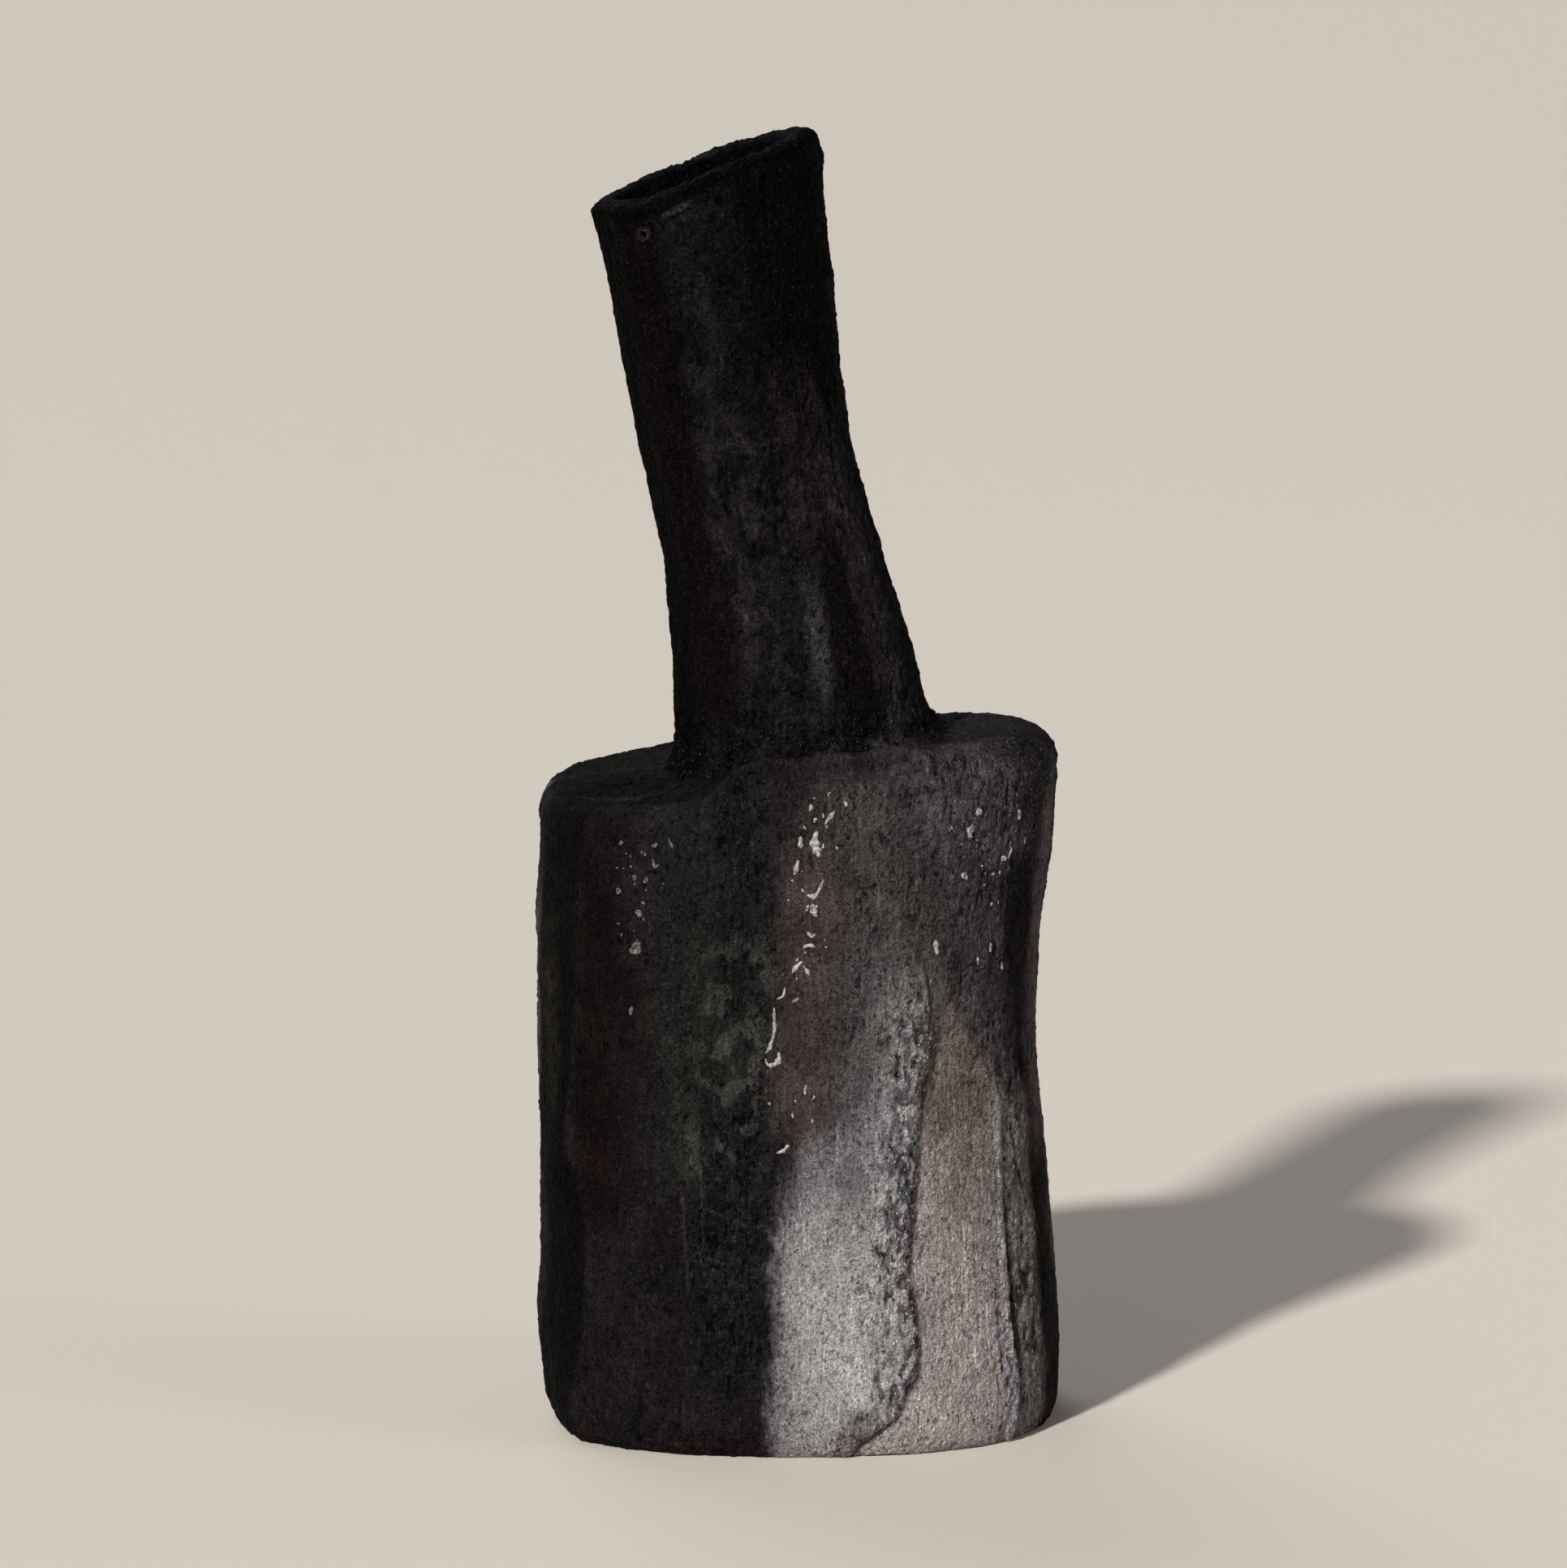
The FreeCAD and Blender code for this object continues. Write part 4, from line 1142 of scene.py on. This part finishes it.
# ---------------------------------------------------------------- materials
class Nodes:
    """Short calls to build a node material."""

    def __init__(self, name):
        self.material = bpy.data.materials.new(name)
        self.material.use_nodes = True
        self.tree = self.material.node_tree
        self.shader = self.tree.nodes["Principled BSDF"]
        self.coords = self.tree.nodes.new("ShaderNodeTexCoord").outputs["Object"]

    def set(self, socket, value):
        """Links an output to the socket, or gives the socket a fixed value."""
        if isinstance(value, bpy.types.NodeSocket):
            self.tree.links.new(value, socket)
        elif isinstance(value, tuple) and len(value) < len(socket.default_value):
            socket.default_value = (*value, 1.0)
        else:
            socket.default_value = value

    def add(self, kind, inputs, **settings):
        """A node with these settings and inputs."""
        node = self.tree.nodes.new(kind)
        for key, value in settings.items():
            setattr(node, key, value)
        for key, value in inputs.items():
            self.set(node.inputs[key], value)
        return node

    def link(self, output, name):
        """Links an output to the shader."""
        self.tree.links.new(output, self.shader.inputs[name])

    def attribute(self, name):
        """The outputs of a colour attribute of the mesh."""
        return self.add("ShaderNodeAttribute", {}, attribute_name=name).outputs

    def stretched(self, stretch):
        """The object's coordinates, stretched upwards."""
        inputs = {"Vector": self.coords, "Scale": (1, 1, 1 / stretch)}
        return self.add("ShaderNodeMapping", inputs).outputs[0]

    def noise(self, size_mm, detail=2.0, rough=0.5, stretch=1.0):
        """Noise with features of this size, stretched upwards."""
        inputs = {"Vector": self.stretched(stretch), "Scale": 1 / (size_mm * MM)}
        inputs |= {"Detail": detail, "Roughness": rough}
        return self.add("ShaderNodeTexNoise", inputs).outputs["Fac"]

    def cells(self, size_mm, stretch=1.0):
        """Distance to the nearest of scattered points, in cells stretched upwards."""
        inputs = {"Vector": self.stretched(stretch), "Scale": 1 / (size_mm * MM)}
        return self.add("ShaderNodeTexVoronoi", inputs).outputs["Distance"]

    def math(self, operation, a, b):
        """Two values put together."""
        return self.add("ShaderNodeMath", {0: a, 1: b}, operation=operation).outputs[0]

    def times(self, a, b):
        """One value times another."""
        return self.math("MULTIPLY", a, b)

    def span(self, value, low, high, to_low=0.0, to_high=1.0):
        """Value moved from one range to another, and kept in it."""
        inputs = {"Value": value, "From Min": low, "From Max": high, "To Min": to_low, "To Max": to_high}
        return self.add("ShaderNodeMapRange", inputs).outputs["Result"]

    def tone(self, colour, other, share, blend="MIX"):
        """A colour blended with another by a share. The node's colour sockets are its inputs 6 and 7."""
        inputs = {0: share, 6: colour, 7: other}
        return self.add("ShaderNodeMix", inputs, data_type="RGBA", blend_type=blend).outputs[2]

    def changed(self, colour, gain, lift, share):
        """A colour that goes to itself times gain, plus lift, by a share."""
        inputs = {0: colour, 1: (gain,) * 3, 2: (lift,) * 3}
        scaled = self.add("ShaderNodeVectorMath", inputs, operation="MULTIPLY_ADD").outputs[0]
        return self.tone(colour, scaled, share)

    def bump(self, height, distance_mm, strength, under=None):
        """Normals that show a height, on top of other bumps if these are given."""
        inputs = {"Height": height, "Distance": distance_mm * MM, "Strength": strength}
        if under is not None:
            inputs["Normal"] = under
        return self.add("ShaderNodeBump", inputs).outputs["Normal"]


def clay_material():
    """Matte grogged clay in its slip streaks; painted shade in hollows and pits, dust and painted highlight
    on ridges, painted glints.
    """
    n = Nodes("black_clay")
    worn = n.attribute("worn")
    height, rough, scored = n.add("ShaderNodeSeparateColor", {"Color": worn["Color"]}).outputs

    mottle = n.span(n.noise(6, 4, 0.65, 1.6), 0.3, 0.7, 0.89, 1.12)
    drag = n.span(n.noise(0.8, 3, 0.6, 7), 0.36, 0.64, 0.88, 1.12)
    grit = n.span(n.noise(0.55, 3, 0.8), 0.40, 0.60, 0.62, 1.42)
    shade = n.times(n.times(mottle, drag), grit)
    shades = n.add("ShaderNodeCombineColor", {0: shade, 1: shade, 2: shade}).outputs[0]
    colour = n.tone(n.attribute("tint")["Color"], shades, 1.0, "MULTIPLY")

    # Ridges paler: dust, and painted highlight.
    dust_and_highlight = n.times(n.span(height, 0.60, 0.95, 0.0, 0.75), n.span(n.noise(0.9, 2), 0.42, 0.62))
    colour = n.changed(colour, 2.3, 0.002, dust_and_highlight)
    # Hollows darker: painted shade.
    colour = n.changed(colour, 0.22, 0.0, n.span(height, 0.32, 0.02, 0.0, 0.85))
    pale = n.times(n.span(n.noise(0.8, 2, 0.6, 1.5), 0.39, 0.36), n.span(n.noise(5, 2), 0.42, 0.56))
    colour = n.changed(colour, 1.6, 0.002, pale)
    grains = n.times(n.span(n.cells(0.9, 1.4), 0.22, 0.12), n.span(n.noise(2.2, 1), 0.50, 0.60))
    colour = n.changed(colour, 2.2, 0.006, n.times(grains, n.span(rough, 0.1, 1.0, 0.35, 0.9)))
    drawn = n.span(n.noise(0.6, 2, 0.5, 16), 0.61, 0.68, 0.0, 0.7)
    colour = n.changed(colour, 1.7, 0.0015, drawn)
    pitted = n.times(n.span(n.noise(0.95, 3, 0.65, 1.7), 0.585, 0.62), n.span(n.noise(4, 2), 0.40, 0.56))
    pitted = n.times(pitted, n.span(rough, 0.0, 0.8, 0.45, 1.0))
    # Pits darker: painted shade in them.
    colour = n.changed(colour, 0.18, 0.0, n.times(pitted, 0.85))
    colour = n.changed(colour, 2.1, 0.020, n.times(scored, 0.8))
    # Crystal specks painted pale where the glint share is high: painted glints.
    crystal_glints = n.times(n.span(n.cells(0.7, 1.9), 0.27, 0.19), n.span(n.noise(1.5, 1), 0.45, 0.52))
    n.link(n.tone(colour, CRYSTAL_GLINT_GREY, n.times(crystal_glints, worn["Alpha"])), "Base Color")

    glints = n.times(n.span(n.cells(0.75), 0.26, 0.12), n.span(n.noise(1.4, 1), 0.48, 0.58))
    base = n.span(n.noise(5, 3, 0.6, 2.0), 0.3, 0.7, 0.60, 0.80)
    satin = n.math("SUBTRACT", base, n.times(rough, 0.10))
    n.link(n.math("SUBTRACT", satin, n.times(glints, 0.30)), "Roughness")

    sand = n.math("ADD", n.times(n.noise(0.5, 2, 0.6), 0.6), n.times(n.cells(0.9), 0.5))
    dragged = n.math("ADD", sand, n.times(n.noise(0.8, 2, 0.5, 5), 0.7))
    first = n.bump(n.times(dragged, n.span(rough, 0.0, 0.8, 0.55, 1.15)), 0.75, 1.0)
    n.link(n.bump(n.math("SUBTRACT", grains, pitted), 0.80, 1.1, first), "Normal")
    n.shader.inputs["Specular IOR Level"].default_value = 0.02
    return n.material


def raw_clay_material():
    """The plain clay of the coils inside, with finger marks."""
    n = Nodes("raw_clay")
    shade = n.span(n.noise(4, 4, 0.6), 0.3, 0.7)
    n.link(n.tone(RAW_CLAY, tuple(2.0 * c for c in RAW_CLAY), shade), "Base Color")
    n.link(n.span(n.noise(2.5, 2), 0.3, 0.7, 0.7, 0.9), "Roughness")
    n.link(n.bump(n.noise(1.8, 3, 0.6), 0.5, 0.6), "Normal")
    return n.material


def slip_material():
    """Dried white slip: off-white, greyer where it is thin, with a slight shine."""
    n = Nodes("white_slip")
    white = n.tone(THIN_SLIP, THICK_SLIP, n.span(n.noise(0.8, 3, 0.65), 0.36, 0.64))
    # Times the tint: painted shade on the drops to the left.
    n.link(n.tone(white, n.attribute("tint")["Color"], 1.0, "MULTIPLY"), "Base Color")
    n.link(n.span(n.noise(0.9, 2), 0.3, 0.7, 0.32, 0.6), "Roughness")
    n.link(n.bump(n.noise(0.5, 2), 0.12, 0.5), "Normal")
    return n.material


def floor_material():
    """Plain pale paper."""
    n = Nodes("pale_floor")
    n.shader.inputs["Base Color"].default_value = (*FLOOR_COLOUR, 1)
    n.shader.inputs["Roughness"].default_value = 0.9
    return n.material


# ---------------------------------------------------------------- stage
FLOOR_HALF = 14.0       # metres
LIGHT_TARGET = (0, 0, 0.12)
FAR_LIGHTS = (
    # name, where from, softness in degrees, strength, colour
    ("key", (-1.05, -2.0, 1.60), 4, 4.5, (1.0, 0.97, 0.93)),
    ("back", (-0.9, 1.9, 1.9), 40, 0.8, (0.96, 0.98, 1.0)),
)
FILL_PLACE, FILL_SIZE, FILL_POWER, FILL_COLOUR = (2.2, -0.9, 0.9), 1.2, 12, (1.0, 0.96, 0.92)
SKY_COLOUR, SKY_STRENGTH = (0.93, 0.95, 1.0, 1), 0.16
# The camera's distance in front, sideways place and lens, and how high it and its target are, as shares
# of the pot's height.
CAMERA_AWAY, CAMERA_SIDE, CAMERA_LENS = 1.75, -0.0034, 174.6
CAMERA_HIGH, TARGET_HIGH = 1.313, 0.494


def aimed(name, data, location, target):
    """An object for a light or a camera at a place, turned to a target."""
    made = bpy.data.objects.new(name, data)
    made.location = location
    made.rotation_euler = (Vector(target) - Vector(location)).to_track_quat("-Z", "Y").to_euler()
    bpy.context.scene.collection.objects.link(made)
    return made


def make_stage():
    """A wide pale floor, a firm key from the front left, a weak light from behind and a weak fill."""
    mesh = bpy.data.meshes.new("floor")
    corners = [(x * FLOOR_HALF, y * FLOOR_HALF, 0) for x, y in ((-1, -1), (1, -1), (1, 1), (-1, 1))]
    mesh.from_pydata(corners, [], [(0, 1, 2, 3)])
    mesh.materials.append(floor_material())
    floor = bpy.data.objects.new("floor", mesh)
    bpy.context.scene.collection.objects.link(floor)
    for name, where, softness_deg, strength, colour in FAR_LIGHTS:
        far = bpy.data.lights.new(name, "SUN")
        far.angle, far.energy, far.color = math.radians(softness_deg), strength, colour
        aimed(name, far, where, LIGHT_TARGET)
    fill = bpy.data.lights.new("fill_right", "AREA")
    fill.shape, fill.size, fill.energy, fill.color = "DISK", FILL_SIZE, FILL_POWER, FILL_COLOUR
    aimed("fill_right", fill, FILL_PLACE, LIGHT_TARGET)
    world = bpy.data.worlds.new("studio")
    world.use_nodes = True
    sky = world.node_tree.nodes["Background"].inputs
    sky["Color"].default_value, sky["Strength"].default_value = SKY_COLOUR, SKY_STRENGTH
    bpy.context.scene.world = world


def make_camera():
    """A long lens a little above the pot's top, looking down by about 8 degrees."""
    height = cad_bounds[1][2]
    data = bpy.data.cameras.new("camera")
    data.sensor_width = 36.0
    data.lens = CAMERA_LENS
    location = (CAMERA_SIDE, -CAMERA_AWAY, CAMERA_HIGH * height)
    bpy.context.scene.camera = aimed("camera", data, location, (CAMERA_SIDE, 0.0, TARGET_HIGH * height))
    bpy.context.scene.view_settings.view_transform = "Standard"


# ---------------------------------------------------------------- making
make_camera()
make_stage()
clay, raw_clay = clay_material(), raw_clay_material()

base_slab(clay)
for node, start, end, columns in WALL_SLABS:
    wall_slab(node, start, end, columns, clay)
shoulder_slab(clay)
neck_collar(clay)
neck_course("neck_lower_course", NECK_FOOT_Z, NECK_SPLIT_Z, 146, 60, clay)
neck_course("neck_upper_course", NECK_SPLIT_Z, NECK_TOP.z, 166, 84, clay)
rim_coil(clay)
slip_drops(slip_material())

for node, shown in frame["nodes"].items():
    if frame_slot(node) == "raw_clay":
        shown.data.materials.clear()
        shown.data.materials.append(raw_clay)
